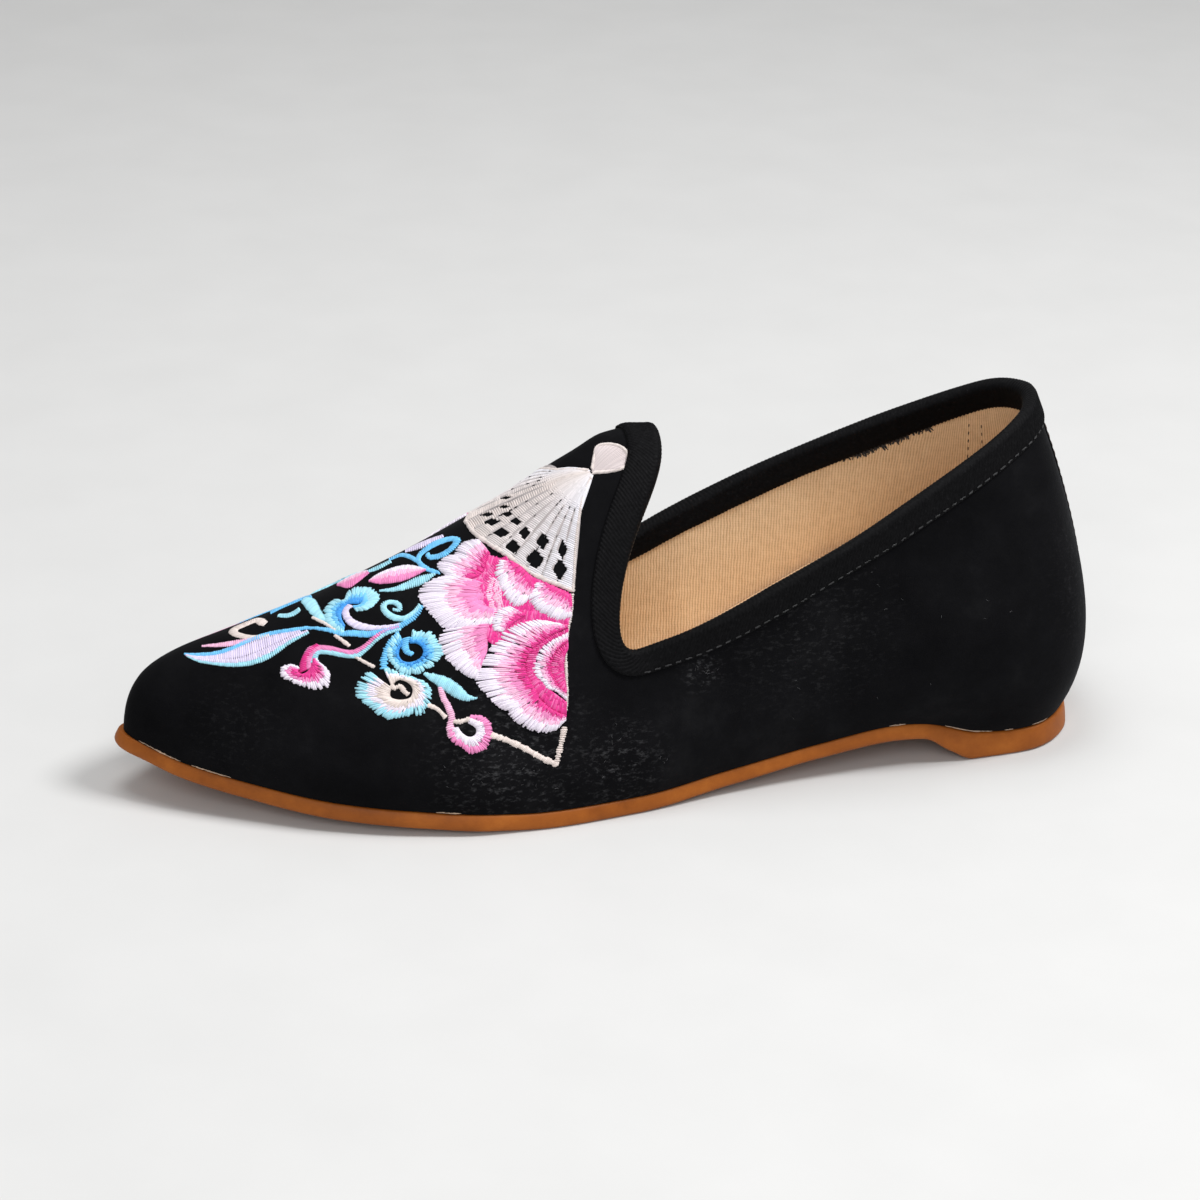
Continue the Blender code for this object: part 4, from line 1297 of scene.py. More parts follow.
def make_heel_grip():
    angles = np.linspace(-GRIP_TURN, GRIP_TURN, GRIP_COLUMNS)
    shares = np.linspace(0.0, 1.0, GRIP_ROWS)

    def height(i, angle):
        x = HEEL_X + HEEL_ROUND * math.cos(math.radians(angle)) * 0.8
        high = collar_z(min(x, 0.5 * SOLE_LENGTH - HEEL_LEAN)) - 3.0 * MM
        return blend(GRIP_LOW, high, shares[i])

    def rise(i, j):
        edge = j in (0, GRIP_COLUMNS - 1) or i in (0, GRIP_ROWS - 1)
        return -(GRIP_EDGE if edge else GRIP_RISE)

    top, under = heel_patch(INSIDE_TREE, angles, GRIP_ROWS, height, rise, depth=0.25)
    points, faces = closed_sheet(top[:, ::-1], under[:, ::-1])
    grip = add_piece("heel_grip", points, faces, lining, INNER_CLOTH)
    mark_weave(grip, points + np.array((0.0, 0.0, 0.00031)))
    heights = np.linspace(42.0 * MM, BACK_HEIGHT - 14.0 * MM, 40)
    rows = [dashes(heel_line(INSIDE_TREE, side * turn, heights, -GRIP_RISE), pitch=2.7 * MM,
                   length=1.1 * MM)
            for side in (OUTER, INNER) for turn in GRIP_SEAMS]
    strands("heel_grip_stitches", np.vstack(rows), tree_of(points, faces), brown_thread,
            width=0.34, rise=0.10, slot=INNER_CLOTH)


def make_collar_stitches():
    """Row of stitches that holds the ribbon's outer leg, near its lower edge."""
    row, away = BINDING_LEGS[0][2]
    rows = dashes(row + away * (GAP + BINDING_THICK), pitch=2.7 * MM, length=1.5 * MM,
                  closed=True)
    seen = [row for row in rows if row[1][0] > 2.0 * MM and row[1][2] < collar_z(row[1][0])]
    strands("collar_stitches", seen, tree_of(binding_points, binding_faces), black_thread,
            width=0.38, rise=0.18, slot="ribbon")


def make_fray():
    """Loose black threads under the far ribbon's inner leg, where its edge is frayed."""
    dice = random.Random(5)
    row, _ = BINDING_LEGS[1][0]
    held = [p for p in row if p[1] > 0.0 and FRAY_FROM < p[0] < FRAY_TO]
    paths = []
    for _ in range(FRAY_COUNT):
        start = held[dice.randrange(len(held))]
        length = dice.uniform(0.6, 2.5) * MM
        lean, bow = dice.uniform(-0.8, 0.8), dice.uniform(-0.5, 0.5)
        paths.append([start + np.array((length * t * (lean + bow * t), 0.0,
                                        length * (0.4 - t * 1.1)))
                      for t in np.linspace(0.0, 1.0, 5)])
    widths = [dice.uniform(0.25, 0.70) for _ in paths]
    strands("frayed_edge", paths, INSIDE_FACING, black_thread, widths, rise=0.30,
            slot="ribbon")


def make_lint():
    """Short bent hairs on the outer side, thrown on it from the side."""
    dice = random.Random(8)
    paths = []
    for x, z, spread, count in LINT:
        for _ in range(count):
            spot = np.array((x + dice.gauss(0.0, spread), -60.0, z + dice.gauss(0.0, spread * 0.5)))
            a, length = dice.uniform(0.0, math.pi), dice.uniform(0.4, 1.1)
            turn = dice.uniform(-0.7, 0.7)
            hits = []
            for t in (0.0, 0.5, 1.0):
                way = np.array((math.cos(a + turn * t), 0.0, math.sin(a + turn * t)))
                start = Vector((spot + length * t * way) * MM)
                hits.append(SKIN_TREE.ray_cast(start, Vector((0.0, 1.0, 0.0)))[0])
            if None not in hits:
                paths.append([tuple(hit) for hit in hits])
    strands("lint", paths, SKIN_TREE, grey_lint, width=0.06, rise=0.08)


def make_glue():
    """Thin uneven traces of dried glue along the foot of the upper."""
    dice = random.Random(9)
    fade = np.sin(math.pi * np.linspace(0.04, 0.96, GLUE_SAMPLES)) ** 0.4
    for number, (side, low, high) in enumerate(GLUE):
        path, half = [], []
        for n in range(GLUE_SAMPLES):
            x = blend(low, high, n / (GLUE_SAMPLES - 1)) * MM
            height = feather_z(x) + dice.uniform(0.10, 0.28) * MM
            path.append((x, side * (feather_half(side, x) + 0.2 * MM), height))
            half.append(dice.uniform(0.08, 0.25) * MM)
        points, normals = on_surface(SKIN_TREE, np.array(path))
        half = (np.array(half) * fade)[None, :]
        rise = np.array([[dice.uniform(0.10, 0.26) * MM for _ in fade]]) * fade
        base = np.full((1, GLUE_SAMPLES), -0.05 * MM)
        add_piece("glue_%d" % number, *thread_mesh(points[None], normals[None], half, rise, base),
                  dried_glue, OUTER_CLOTH, sharp=THREAD_EDGE)


make_heel_strip()
make_heel_grip()
make_collar_stitches()
make_fray()
make_lint()
make_glue()


# Embroidery

# The vamp's own map: x along the shoe and t the girth from the crown line, negative on
# the outer side. Motifs are drawn on it from a root line a to a tip line b.
Motif = namedtuple("Motif", "name kind shades a b width layer", defaults=(0, 0))


def pairs(tenths):
    """Spots on the map in millimetres, from x and t in tenths of one, by turns."""
    return tuple((x / 10, t / 10) for x, t in zip(tenths[::2], tenths[1::2]))


# Name, kind, shades, root line, tip line, and for some the width and the layer
MOTIFS = tuple(Motif(*named, pairs(root), pairs(tip), *more) for named, root, tip, *more in (
    (("petal_back_left", "fill", "pink"),
     (-325, -145, -325, -180, -325, -230, -325, -290),
     (-375, -175, -382, -210, -378, -260, -350, -305)),
    (("petal_back_top", "fill", "deep"),
     (-349, -101, -325, -144, -286, -187, -248, -239, -208, -287, -142, -363),
     (-370, -167, -352, -238, -319, -291, -272, -334, -219, -376, -156, -416)),
    (("petal_back_mid", "fill", "deep"),
     (-352, -238, -317, -275, -270, -318, -217, -360, -158, -409),
     (-368, -310, -356, -351, -319, -381, -267, -392, -211, -409, -158, -431)),
    (("petal_back_fold", "fill", "pale"),
     (-336, -193, -348, -229, -349, -269, -347, -304),
     (-309, -233, -312, -260, -312, -289, -311, -315)),
    (("petal_streak", "fill", "deep"),
     (-287, -173, -315, -168, -341, -185, -351, -201),
     (-281, -199, -307, -197, -329, -211, -338, -222)),
    (("petal_left_low", "fringe", "petal_pale"),
     (-351, -314, -357, -324, -361, -337, -361, -354, -364, -371, -371, -382, -378, -389),
     (-463, -267, -478, -279, -477, -309, -467, -335, -451, -366, -426, -400, -401, -427)),
    (("petal_left", "fringe", "petal_pale"),
     (-352, -207, -360, -209, -368, -216, -372, -225, -371, -237, -367, -249, -360, -258, -353,
      -267, -344, -275, -335, -282),
     (-436, -131, -466, -122, -495, -123, -510, -145, -500, -181, -482, -221, -466, -256, -433,
      -280, -395, -303, -347, -318)),
    (("petal_top_left", "fringe", "petal_pink"),
     (-324, -142, -331, -153, -337, -165, -343, -177, -354, -183, -366, -183, -378, -179),
     (-345, -81, -369, -68, -393, -69, -408, -84, -428, -77, -451, -91, -436, -133)),
    (("petal_mid_a", "fringe", "petal_mid"),
     (-272, -197, -255, -218, -241, -244, -233, -267, -230, -286),
     (-306, -173, -321, -196, -314, -236, -303, -276, -280, -307, -251, -311, -237, -302)),
    (("petal_mid_b", "fringe", "petal_mid"),
     (-197, -301, -177, -322, -159, -342, -145, -363, -145, -381),
     (-228, -279, -246, -292, -245, -320, -227, -351, -203, -379, -178, -404, -151, -414)),
    (("petal_mid_c", "fringe", "petal_mid"),
     (-260, -341, -272, -341, -285, -342, -298, -343, -308, -344),
     (-301, -294, -327, -291, -345, -305, -345, -329, -325, -346)),
    (("petal_big", "fringe", "petal_pink"),
     (-160, -432, -183, -428, -206, -424, -224, -427, -241, -427, -254, -433, -266, -439, -273,
      -450, -275, -466, -271, -485, -265, -505, -258, -521, -253, -535, -248, -549),
     (-187, -405, -229, -370, -263, -355, -297, -348, -323, -350, -334, -365, -357, -367, -368,
      -384, -394, -393, -401, -423, -390, -457, -372, -488, -357, -516, -334, -537)),
    (("petal_low", "fringe", "petal_pink"),
     (-257, -530, -249, -552, -237, -573, -223, -593, -210, -609, -199, -621, -186, -633),
     (-331, -534, -321, -564, -299, -592, -273, -621, -245, -641, -216, -654, -189, -647)),
    (("petal_band", "fill", "deep"),
     (-161, -436, -206, -425, -241, -427, -266, -439, -275, -466, -265, -505, -248, -549, -223,
      -593, -186, -633),
     (-164, -447, -190, -440, -219, -438, -241, -447, -251, -475, -244, -507, -228, -538, -210,
      -565, -182, -604)),
    (("petal_inner", "fringe", "petal_pink"),
     (-166, -466, -179, -466, -191, -469, -200, -477, -207, -487, -213, -500, -212, -514, -206,
      -531, -201, -546, -191, -564, -180, -579),
     (-164, -442, -190, -437, -214, -436, -237, -441, -249, -454, -259, -471, -254, -493, -237,
      -521, -230, -540, -208, -560, -182, -597)),
    (("petal_core", "fill", "deep"),
     (-165, -465, -191, -468, -208, -486, -213, -502, -207, -532, -191, -564, -180, -580),
     (-167, -484, -174, -493, -179, -507, -181, -522, -181, -536, -180, -551, -179, -568)),
    (("ring_neck", "line", "sky"),
     (-572, -214, -598, -229, -614, -254, -618, -280),
     (), 1.9),
    (("long_leaf_top", "satin", "sky"),
     (-1078, -19, -1056, -40, -1013, -57, -974, -61, -924, -54, -874, -55, -827, -69, -789, -82,
      -760, -96),
     (-1080, -15, -1054, -29, -1014, -44, -972, -47, -921, -39, -872, -41, -825, -57, -787,
      -72, -758, -90), 0, 1),
    (("long_leaf_mid", "satin", "lilac"),
     (-1076, -24, -1052, -50, -1011, -75, -964, -91, -916, -99, -871, -95, -835, -88, -800, -86),
     (-1078, -20, -1051, -41, -1011, -56, -969, -58, -921, -51, -874, -53, -836, -65, -803, -75)),
    (("long_leaf_low", "satin", "leaf_low"),
     (-1074, -32, -1053, -60, -1013, -88, -967, -112, -920, -126, -880, -125, -849, -114, -817,
      -104, -782, -99),
     (-1076, -24, -1050, -51, -1008, -73, -964, -90, -918, -96, -875, -92, -839, -87, -809, -85,
      -785, -87)),
    (("leaf_stem", "satin", "sky"),
     (-764, -96, -735, -119, -709, -145, -682, -161, -645, -184, -607, -195, -573, -204, -547,
      -204, -521, -199, -502, -181),
     (-760, -88, -733, -108, -708, -132, -679, -145, -643, -168, -605, -182, -570, -188, -545,
      -189, -523, -182, -511, -171)),
    (("thin_pink_leaf", "satin", "pale"),
     (-1034, -10, -1000, -31, -962, -46, -923, -52, -879, -53),
     (-1033, -4, -997, -15, -959, -25, -921, -37, -878, -46)),
    (("beige_curl", "satin", "beige"),
     (-867, 10, -874, 41, -890, 63, -921, 60, -953, 47, -963, 18, -948, -17, -913, -48, -875, -58),
     (-881, -4, -889, 8, -896, 29, -918, 27, -939, 21, -942, 7, -932, -11, -910, -33, -875, -46)),
    (("small_blue_curl", "satin", "sky"),
     (-851, 52, -824, 65, -794, 69, -763, 70, -749, 51),
     (-845, 88, -819, 95, -787, 102, -763, 108, -746, 83)),
    (("small_blue_curl_b", "satin", "aqua"),
     (-840, 14, -826, -5, -807, -12, -788, -4, -786, 11),
     (-831, 25, -820, 14, -807, 11, -793, 15, -788, 17)),
    (("aqua_leaf_top", "satin", "aqua"),
     (-775, 51, -770, -4, -762, -44, -751, -70, -738, -82),
     (-752, 74, -743, 24, -741, -20, -738, -53, -735, -77)),
    (("stem_beige_a", "line", "beige"),
     (-763, -51, -748, -74, -734, -96, -718, -123),
     (), 0.85),
    (("stem_beige_b", "line", "beige"),
     (-721, -138, -708, -158, -693, -182),
     (), 0.95),
    (("stem_beige_c", "line", "beige"),
     (-682, -218, -664, -240, -642, -265),
     (), 0.75),
    (("blue_flower", "fringe", "flower_blue"),
     (-695, -119, -697, -105, -697, -88, -692, -74, -680, -63, -673, -61, -661, -69, -652, -76,
      -643, -77),
     (-704, -144, -726, -111, -739, -76, -731, -37, -707, -14, -681, -36, -665, -8, -640, -10,
      -613, -42)),
    (("blue_flower_b", "fringe", "flower_sky"),
     (-640, -76, -644, -81, -651, -82, -658, -80, -665, -74),
     (-613, -42, -599, -82, -606, -100, -629, -109, -657, -99)),
    (("spine", "satin", "lilac"),
     (-665, -78, -676, -78, -678, -94, -670, -118, -649, -143, -613, -170, -565, -190),
     (-678, -61, -692, -71, -694, -96, -683, -129, -656, -157, -615, -180, -564, -198)),
    (("spiral", "satin", "aqua"),
     (-508, -180, -525, -189, -550, -191, -578, -174, -597, -147, -603, -119, -592, -109, -573,
      -116, -556, -134, -552, -154, -560, -159, -573, -150),
     (-512, -166, -529, -176, -551, -178, -571, -163, -586, -142, -591, -127, -585, -122, -574,
      -128, -565, -139, -563, -147, -566, -148, -573, -141)),
    (("heart_tail", "satin", "heart_tail"),
     (-566, -208, -593, -203, -618, -204, -645, -215, -676, -223, -709, -206, -740, -183, -763,
      -170, -771, -176, -772, -192),
     (-571, -193, -605, -185, -625, -185, -655, -197, -683, -199, -706, -187, -741, -158, -774,
      -141, -794, -142, -808, -167)),
    (("heart_lobes", "fringe", "heart"),
     (-825, -192, -813, -203, -802, -203, -794, -197, -787, -187, -783, -176),
     (-818, -180, -834, -166, -853, -160, -863, -167, -859, -190, -838, -213, -807, -239,
      -777, -257, -755, -258, -747, -240, -752, -217, -765, -198, -772, -181), 0, 1),
    (("heart_neck", "satin", "deep_mix"),
     (-819, -194, -812, -169, -800, -151, -784, -140, -769, -140),
     (-788, -193, -787, -179, -780, -167, -771, -162, -759, -158), 0, 2),
    (("blue_ring", "fringe", "flower_blue"),
     (-567, -249, -575, -255, -578, -269, -572, -285, -558, -297, -541, -302, -527, -301, -519,
      -290, -523, -273, -535, -260, -547, -254),
     (-571, -207, -595, -218, -607, -243, -600, -278, -574, -318, -536, -337, -498, -338, -469,
      -323, -481, -281, -493, -254, -535, -225)),
    (("blue_ring_in", "satin", "sky"),
     (-565, -234, -570, -247, -565, -269, -551, -283),
     (-545, -239, -552, -254, -551, -270, -542, -280), 0, 1),
    (("white_flower", "fringe", "flower_white"),
     (-607, -339, -612, -350, -609, -362, -596, -373, -582, -380, -564, -384, -556, -375, -556,
      -360, -565, -344, -580, -330, -594, -327, -604, -333),
     (-656, -270, -687, -284, -691, -319, -666, -352, -648, -382, -618, -410, -580, -422, -536,
      -436, -515, -411, -517, -374, -566, -325, -618, -276)),
    (("pistil", "line", "beige"),
     (-606, -332, -598, -343, -589, -341, -581, -350, -577, -361, -569, -372),
     (), 1.1, 1),
    (("aqua_leaf", "satin", "aqua"),
     (-525, -346, -508, -372, -484, -404, -460, -435, -431, -462, -402, -472),
     (-520, -344, -493, -362, -464, -389, -442, -418, -425, -448, -404, -470)),
    (("pink_tail", "satin", "pale"),
     (-495, -395, -492, -420, -483, -450, -477, -478, -485, -500, -482, -526),
     (-484, -401, -477, -429, -467, -455, -461, -486, -467, -503, -460, -529)),
    (("pink_curl", "fringe", "curl_pink"),
     (-455, -516, -449, -530, -438, -546, -424, -555, -414, -552, -413, -541, -420, -530, -430,
      -519),
     (-484, -508, -476, -538, -451, -569, -428, -596, -391, -602, -372, -570, -383, -531, -419,
      -503)),
    (("pink_pistil", "line", "beige"),
     (-464, -495, -447, -505, -431, -508, -420, -519),
     (), 1, 1),
    (("rim_low_left", "line", "beige"),
     (-523, -423, -502, -444, -485, -473),
     (), 1),
    (("rim_low", "line", "beige"),
     (-376, -577, -343, -605, -299, -648, -256, -696, -215, -739),
     (), 1.2),
    (("guard_low", "line", "beige"),
     (-218, -738, -208, -710, -198, -684, -191, -662),
     (), 1.8),
    (("guard_line", "line", "ivory"),
     (-188, -640, -178, -596, -175, -543, -171, -489, -161, -441, -149, -409, -140, -363),
     (), 0.8, 2),
    (("hook", "satin", "sky"),
     (-450, -116, -468, -99, -487, -69, -495, -29, -478, -1, -441, 9, -400, -17, -382, -51, -400,
      -68, -432, -74, -461, -58, -470, -36),
     (-453, -104, -466, -86, -479, -61, -484, -36, -471, -21, -439, -20, -406, -32, -400, -44,
      -413, -53, -436, -53, -457, -42, -460, -29)),
    (("pink_leaf", "satin", "pink_mix"),
     (-611, -15, -591, -44, -559, -66, -526, -79, -480, -83),
     (-609, -8, -587, 2, -552, -5, -516, -28, -479, -77)),
    (("aqua_leaf_b", "satin", "aqua"),
     (-595, -72, -560, -96, -526, -110, -489, -118, -461, -112),
     (-594, -66, -567, -79, -537, -85, -502, -88, -463, -103)),
    (("arc_thin", "satin", "sky"),
     (-547, 42, -524, 33, -508, -4, -495, -40),
     (-543, 71, -519, 59, -501, 9, -488, -31)),
    (("pink_leaf_b", "satin", "pink_mix"),
     (-680, 55, -663, 6, -636, 12, -606, 30),
     (-676, 77, -649, 96, -620, 101, -604, 63)),
    (("aqua_leaf_c", "satin", "aqua"),
     (-605, 40, -583, 24, -548, 24),
     (-602, 57, -579, 55, -549, 49)),
    (("lilac_leaf_top", "satin", "lilac"),
     (-506, 40, -481, 15, -452, 6, -417, -1),
     (-499, 67, -472, 61, -445, 42, -417, 18)),
))
FAN_MIDDLE = pairs((-52, -89, -130, -63, -200, -38, -276, -13, -356, 13))
FAR_GUARD = pairs((-52, -89, -95, -56, -130, -26, -152, 18, -156, 75, -148, 130, -138, 186))
FAN_ARC = pairs((-356, 13, -348, -54, -315, -121, -283, -170, -246, -229, -207, -279, -171, -318,
                 -138, -354))
FAN_RIGHT = pairs((-49, -95, -72, -120, -90, -153, -106, -203, -121, -263, -130, -314, -138, -354))
KNOB = pairs((-48, -94, -51, -80, -39, -48, -25, -20, 4, -27, 31, -48, 42, -74, 38, -94, 28, -107,
              -9, -106))
# Cut-outs of the fan's sticks: centre, point at full width, point at full height
FAN_HOLES = tuple(pairs(hole) for hole in (
    (-164, -284, -137, -301, -169, -322),
    (-152, -240, -134, -251, -156, -276),
    (-220, -222, -187, -244, -225, -260),
    (-196, -190, -172, -206, -201, -222),
    (-266, -158, -237, -177, -270, -185),
    (-234, -140, -214, -155, -239, -168),
    (-289, -102, -258, -123, -293, -124),
    (-248, -97, -225, -115, -251, -118),
    (-302, -54, -272, -80, -306, -72),
    (-264, -59, -244, -77, -267, -72),
    (-306, -18, -283, -43, -309, -32),
    (-265, -28, -246, -48, -267, -38),
    (-253, 5, -232, -26, -256, -7),
))

MAP_LOW, MAP_HIGH, MAP_STEP = -118.0, 14.0, 1.0
MAP_GIRTH = 82.0


def srgb(r, g, b):
    """Linear colour of a screen colour whose parts go up to 255."""
    return tuple(((v / 255.0 + 0.055) / 1.055) ** 2.4 if v > 10 else v / 255.0 / 12.92
                 for v in (r, g, b))


WHITE = srgb(238, 229, 243)
LILAC = srgb(224, 214, 240)
PALE = srgb(246, 190, 220)
PINK = srgb(236, 138, 193)
DEEP = srgb(224, 48, 141)
AQUA = srgb(164, 222, 238)
SKY = srgb(112, 196, 244)
BLUE = srgb(60, 154, 230)
IVORY = srgb(219, 208, 204)
CHALK = srgb(229, 227, 234)
BEIGE = srgb(228, 214, 208)
BLACK = srgb(16, 15, 18)
# painted shade: the fan's leaf threads, seen in the grooves between its sticks
SHADOW = srgb(178, 170, 170)
# Thread colours of each kind of fill: start, end and colour, from the root line to the tip
SHADES = {
    "petal_pale": ((0.42, 1.0, WHITE), (0.12, 0.66, PALE), (0.0, 0.42, PINK)),
    "petal_pink": ((0.45, 1.0, WHITE), (0.22, 0.71, PALE), (0.10, 0.45, PINK), (0.0, 0.25, DEEP)),
    "petal_mid": ((0.46, 1.0, WHITE), (0.26, 0.70, PALE), (0.10, 0.48, PINK), (0.0, 0.34, DEEP)),
    "flower_blue": ((0.42, 1.0, AQUA), (0.18, 0.60, SKY), (0.0, 0.32, BLUE)),
    "flower_sky": ((0.30, 1.0, AQUA), (0.0, 0.50, SKY)),
    "flower_white": ((0.58, 1.0, AQUA), (0.30, 0.76, WHITE), (0.0, 0.50, BEIGE)),
    "heart": ((0.60, 1.0, WHITE), (0.36, 0.76, PINK), (0.0, 0.52, DEEP)),
    "heart_tail": ((0.0, 0.55, AQUA), (0.35, 1.0, PINK)),
    "deep_mix": ((0.50, 1.0, PINK), (0.0, 0.66, DEEP)),
    "pink_mix": ((0.56, 1.0, WHITE), (0.30, 0.76, PALE), (0.0, 0.44, PINK)),
    "curl_pink": ((0.45, 1.0, PINK), (0.0, 0.62, WHITE)),
    "leaf_low": ((0.0, 0.56, AQUA), (0.35, 1.0, LILAC)),
}
for shade_name, shade in (("pale", PALE), ("pink", PINK), ("deep", DEEP), ("sky", SKY),
                          ("aqua", AQUA), ("lilac", LILAC), ("beige", BEIGE), ("ivory", IVORY),
                          ("knob", srgb(206, 194, 194))):
    SHADES[shade_name] = ((0.0, 1.0, shade),)
THREAD = 0.54           # width of a thread and the pitch of the stitches, in millimetres
THREAD_RISE = 0.26
# Pitches of the stitches in fringes, fills, lines, the fan's sticks and its knob
FRINGE_PITCH, FILL_PITCH, LINE_PITCH = THREAD * 0.82, THREAD * 0.9, THREAD * 0.85
STICK_PITCH, KNOB_PITCH = THREAD * 0.95, THREAD * 0.9
SAMPLES = 6             # points along a stitch
LIFT = 0.07             # each layer of threads lies this much higher
SINK = 0.06             # a thread's foot lies this much below the cloth
BELLY = 0.05            # a full stitch bows up by this share of its length, up to BELLY_REACH
BELLY_REACH = 5.0
STITCH_END, STITCH_GAIN = 0.72, 0.28    # a stitch's width at an end, and the middle's gain
SHORTEST = 0.3          # spans below this count as this long
FILL_LENGTHS, FILL_TONES = (1.3, 3.2), (0.0, 0.0, 0.0, 0.25, 0.5)
OUTER_WIDE = 1.12       # the outermost threads of a fringe are wider
SKIPPED = 0.015         # share of those threads that is left out
DASHES = 0.07           # share of the inner threads with a short black dash, and its size
DASH_LENGTH, DASH_WIDTH = 1.3, 0.22


def vamp_map():
    """Points of the vamp on a regular grid of x and t, in metres."""
    girths = np.arange(-MAP_GIRTH, MAP_GIRTH + 0.5, 1.0)
    rows = []
    turns = np.linspace(0.0, 0.5 * math.pi, 90)
    for x in np.arange(MAP_LOW, MAP_HIGH + 0.5, MAP_STEP) * MM:
        row = np.zeros((len(girths), 3))
        for side in (OUTER, INNER):
            line = np.array([(x, *section_y(side, x, math.sin(a))) for a in turns])
            mine = girths * side >= 0.0
            for n in range(3):
                row[mine, n] = np.interp(np.abs(girths[mine]) * MM, run_along(line), line[:, n])
        rows.append(row)
    return np.array(rows)


VAMP = vamp_map()


def on_vamp(spots):
    """Points of the cloth and its normals under an array of (x, t) in millimetres."""
    u = np.clip((spots[:, 0] - MAP_LOW) / MAP_STEP, 0.0, VAMP.shape[0] - 1.001)
    v = np.clip(spots[:, 1] + MAP_GIRTH, 0.0, VAMP.shape[1] - 1.001)
    i, j = u.astype(int), v.astype(int)
    fu, fv = (u - i)[:, None], (v - j)[:, None]
    rough = ((VAMP[i, j] * (1 - fv) + VAMP[i, j + 1] * fv) * (1 - fu)
             + (VAMP[i + 1, j] * (1 - fv) + VAMP[i + 1, j + 1] * fv) * fu)
    points, normals = np.empty_like(rough), np.empty_like(rough)
    for n, spot in enumerate(rough):
        points[n], _, face, _ = SKIN_TREE.find_nearest(Vector(spot))
        normals[n] = NORMALS[list(QUADS[face])].mean(axis=0)
    return points, unit(normals)


class Line:
    """A polyline on the map, smoothed, read by its share of length."""

    def __init__(self, spots):
        spots = np.array(spots, dtype=float)
        if len(spots) > 2:
            fine = []
            padded = np.vstack([2 * spots[0] - spots[1], spots, 2 * spots[-1] - spots[-2]])
            for n in range(1, len(padded) - 2):
                a, b, c, d = padded[n - 1:n + 3]
                for t in (0.0, 0.25, 0.5, 0.75):
                    fine.append(0.5 * (2 * b + (c - a) * t + (2 * a - 5 * b + 4 * c - d) * t * t
                                       + (3 * b - a - 3 * c + d) * t ** 3))
            fine.append(spots[-1])
            spots = np.array(fine)
        self.spots = spots
        self.run = run_along(spots)
        self.length = self.run[-1]

    def at(self, share):
        place = min(max(share, 0.0), 1.0) * self.length
        return np.array([np.interp(place, self.run, self.spots[:, n]) for n in (0, 1)])


